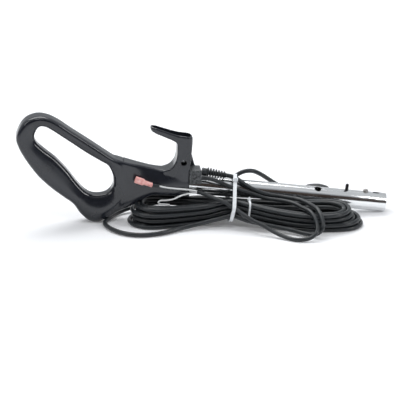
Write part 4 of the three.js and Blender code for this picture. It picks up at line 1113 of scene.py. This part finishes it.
# %% Terminal sleeve
terminal_frame = pointing((-70.1, -20.05, 55.3), (-92.6, -20.4, 64.2))
rows = [
    (0, 2.5, 2.5), (0.25, 2.85, 2.85), (0.8, 3.1, 3.1), (3, 3.1, 3.1), (4, 3.0, 2.6), (6, 3.0, 2.55),
    (7, 3.1, 3.05), (10.4, 3.1, 3.1), (11.4, 3.5, 3.05), (12.6, 4.3, 2.9), (13.4, 4.6, 2.85),
    (16.5, 4.7, 2.85), (20, 4.65, 2.8), (24, 4.72, 2.85), (24.4, 4.6, 2.7), (24.6, 4.2, 2.35),
    (24.55, 3.9, 2.0), (22, 3.8, 1.9),
]
terminal = finish_piece("terminal", ring_piece(rows, terminal_frame, 2.5, 32), pink_nylon, 40)
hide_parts("terminal_sleeve")
sleeve_frame = pointing((-60.5, -19.4, 53.4), (-69.3, -20, 55))
rows = [
    (0, 1.35, 1.35), (0.3, 1.9, 1.9), (1.1, 2.4, 2.35), (2.6, 2.25, 2.3), (4.4, 2.4, 2.4), (6.2, 2.2, 2.3),
    (7.8, 2.4, 2.3), (8.6, 2.15, 2.1), (8.9, 1.5, 1.5),
]
sleeve = finish_piece("shrink_sleeve", ring_piece(rows, sleeve_frame, 2, 24), cord_pvc, 50)
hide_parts("wire_sleeve")
print("terminal 24.6 mm long")

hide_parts("power_cord_lead_in", "power_cord_hank", "power_cord_tail")
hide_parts("motor_lead")
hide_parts("white_wire_upper")
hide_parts("white_wire_folded")

# %% [markdown]
# ## Cable ties
# A tie is a nylon strap pulled tight, so it takes the shortest way round what it holds. Short
# discs stand for the tube and the cords, a convex hull wraps them, and its band of side faces,
# thickened, is the strap. It leans as the real one does, and a small head sits on its top.

# %% Nylon
nylon_66 = soft_skin("natural_nylon", "#dfe3e7", "#eef1f4", (0.3, 0.42), 5 * MM, 0.2)
print("tie nylon ready")

# %% Straps
def strap(name, circles, foot, lean, width, thickness, head_towards):
    """A strap round circles of (y, z, radius), leaning along X as it rises from its foot."""
    bm = bmesh.new()
    for y, z, r in circles:
        place = at(0, y, z) @ turned(90, "Y")
        bmesh.ops.create_cone(
            bm, cap_ends=True, segments=48, radius1=r * MM, radius2=r * MM, depth=width * MM, matrix=place,
        )
    wrapped = bmesh.ops.convex_hull(bm, input=bm.verts)
    left_over = set(wrapped["geom_interior"] + wrapped["geom_unused"])
    inner = [item for item in left_over if isinstance(item, bmesh.types.BMVert)]
    bmesh.ops.delete(bm, geom=inner, context="VERTS")
    bm.normal_update()
    ends = [face for face in bm.faces if abs(face.normal.x) > 0.9]
    bmesh.ops.delete(bm, geom=ends, context="FACES_ONLY")
    bmesh.ops.delete(bm, geom=[e for e in bm.edges if not e.link_faces], context="EDGES")
    bmesh.ops.remove_doubles(bm, verts=bm.verts, dist=1e-6)
    bmesh.ops.dissolve_limit(bm, angle_limit=math.radians(0.5), verts=bm.verts, edges=bm.edges)
    bmesh.ops.recalc_face_normals(bm, faces=bm.faces)
    middle = sum((v.co for v in bm.verts), Vector()) / len(bm.verts)
    towards = Vector(head_towards)

    def facing(face):
        """How much a face points to where the head sits, and a little of how far it lies there."""
        outward = (face.calc_center_median() - middle).normalized()
        return face.normal.dot(towards) + 0.02 * outward.dot(towards)

    seat = max(bm.faces, key=facing)
    normal = seat.normal.copy() if seat.normal.dot(seat.calc_center_median() - middle) > 0 else -seat.normal
    head_place = seat.calc_center_median() + normal * (thickness + 1.1) * MM
    bmesh.ops.solidify(bm, geom=bm.faces[:], thickness=-thickness * MM)
    bmesh.ops.recalc_face_normals(bm, faces=bm.faces)
    across = normal.cross(Vector((1, 0, 0)))
    turn = Matrix((Vector((1, 0, 0)), across, normal)).transposed().to_4x4()
    head = block(width + 2, width + 0.9, 2.6, Matrix.Translation(head_place) @ turn)
    soften(head, head.edges, 0.5, 3)
    stub = block(width, thickness, 4.4, Matrix.Translation(head_place + normal * 1.2 * MM) @ turn)
    soften(stub, stub.edges, 0.25, 2)
    pour_in(bm, head, stub)
    shear = Matrix.Identity(4)
    shear[0][2] = lean
    shear[0][3] = (foot[0] - foot[1] * lean) * MM
    move(bm, shear)
    return finish_piece(name, bm, nylon_66, 35)


main_circles = [
    (0, 40.8, 13.6), (-6.4, 57, 4.3), (-22.6, 48.6, 3.6), (-48.2, 31, 4), (-51, 28.6, 3.8),
    (-47.6, 16.2, 5), (-39.6, 13.9, 4), (-4.8, 5.2, 3.8), (-4.8, 25.4, 3.8),
]
front_circles = [(-38.9, 10, 4.2), (-39.3, 30, 4.5), (-47.2, 11.2, 3.9), (-47.9, 31.3, 3.9)]
main_strap = strap("main_tie", main_circles, (33, 10), 0.2, 4.8, 1.3, (0, -0.5, 0.87))
small_strap = strap("small_tie", front_circles, (57, 12), 0.1, 2.5, 1.1, (0, 0.3, 0.95))
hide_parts("cable_tie")
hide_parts("front_tie")
print("two ties:", len(main_strap.data.polygons), "and", len(small_strap.data.polygons), "faces")
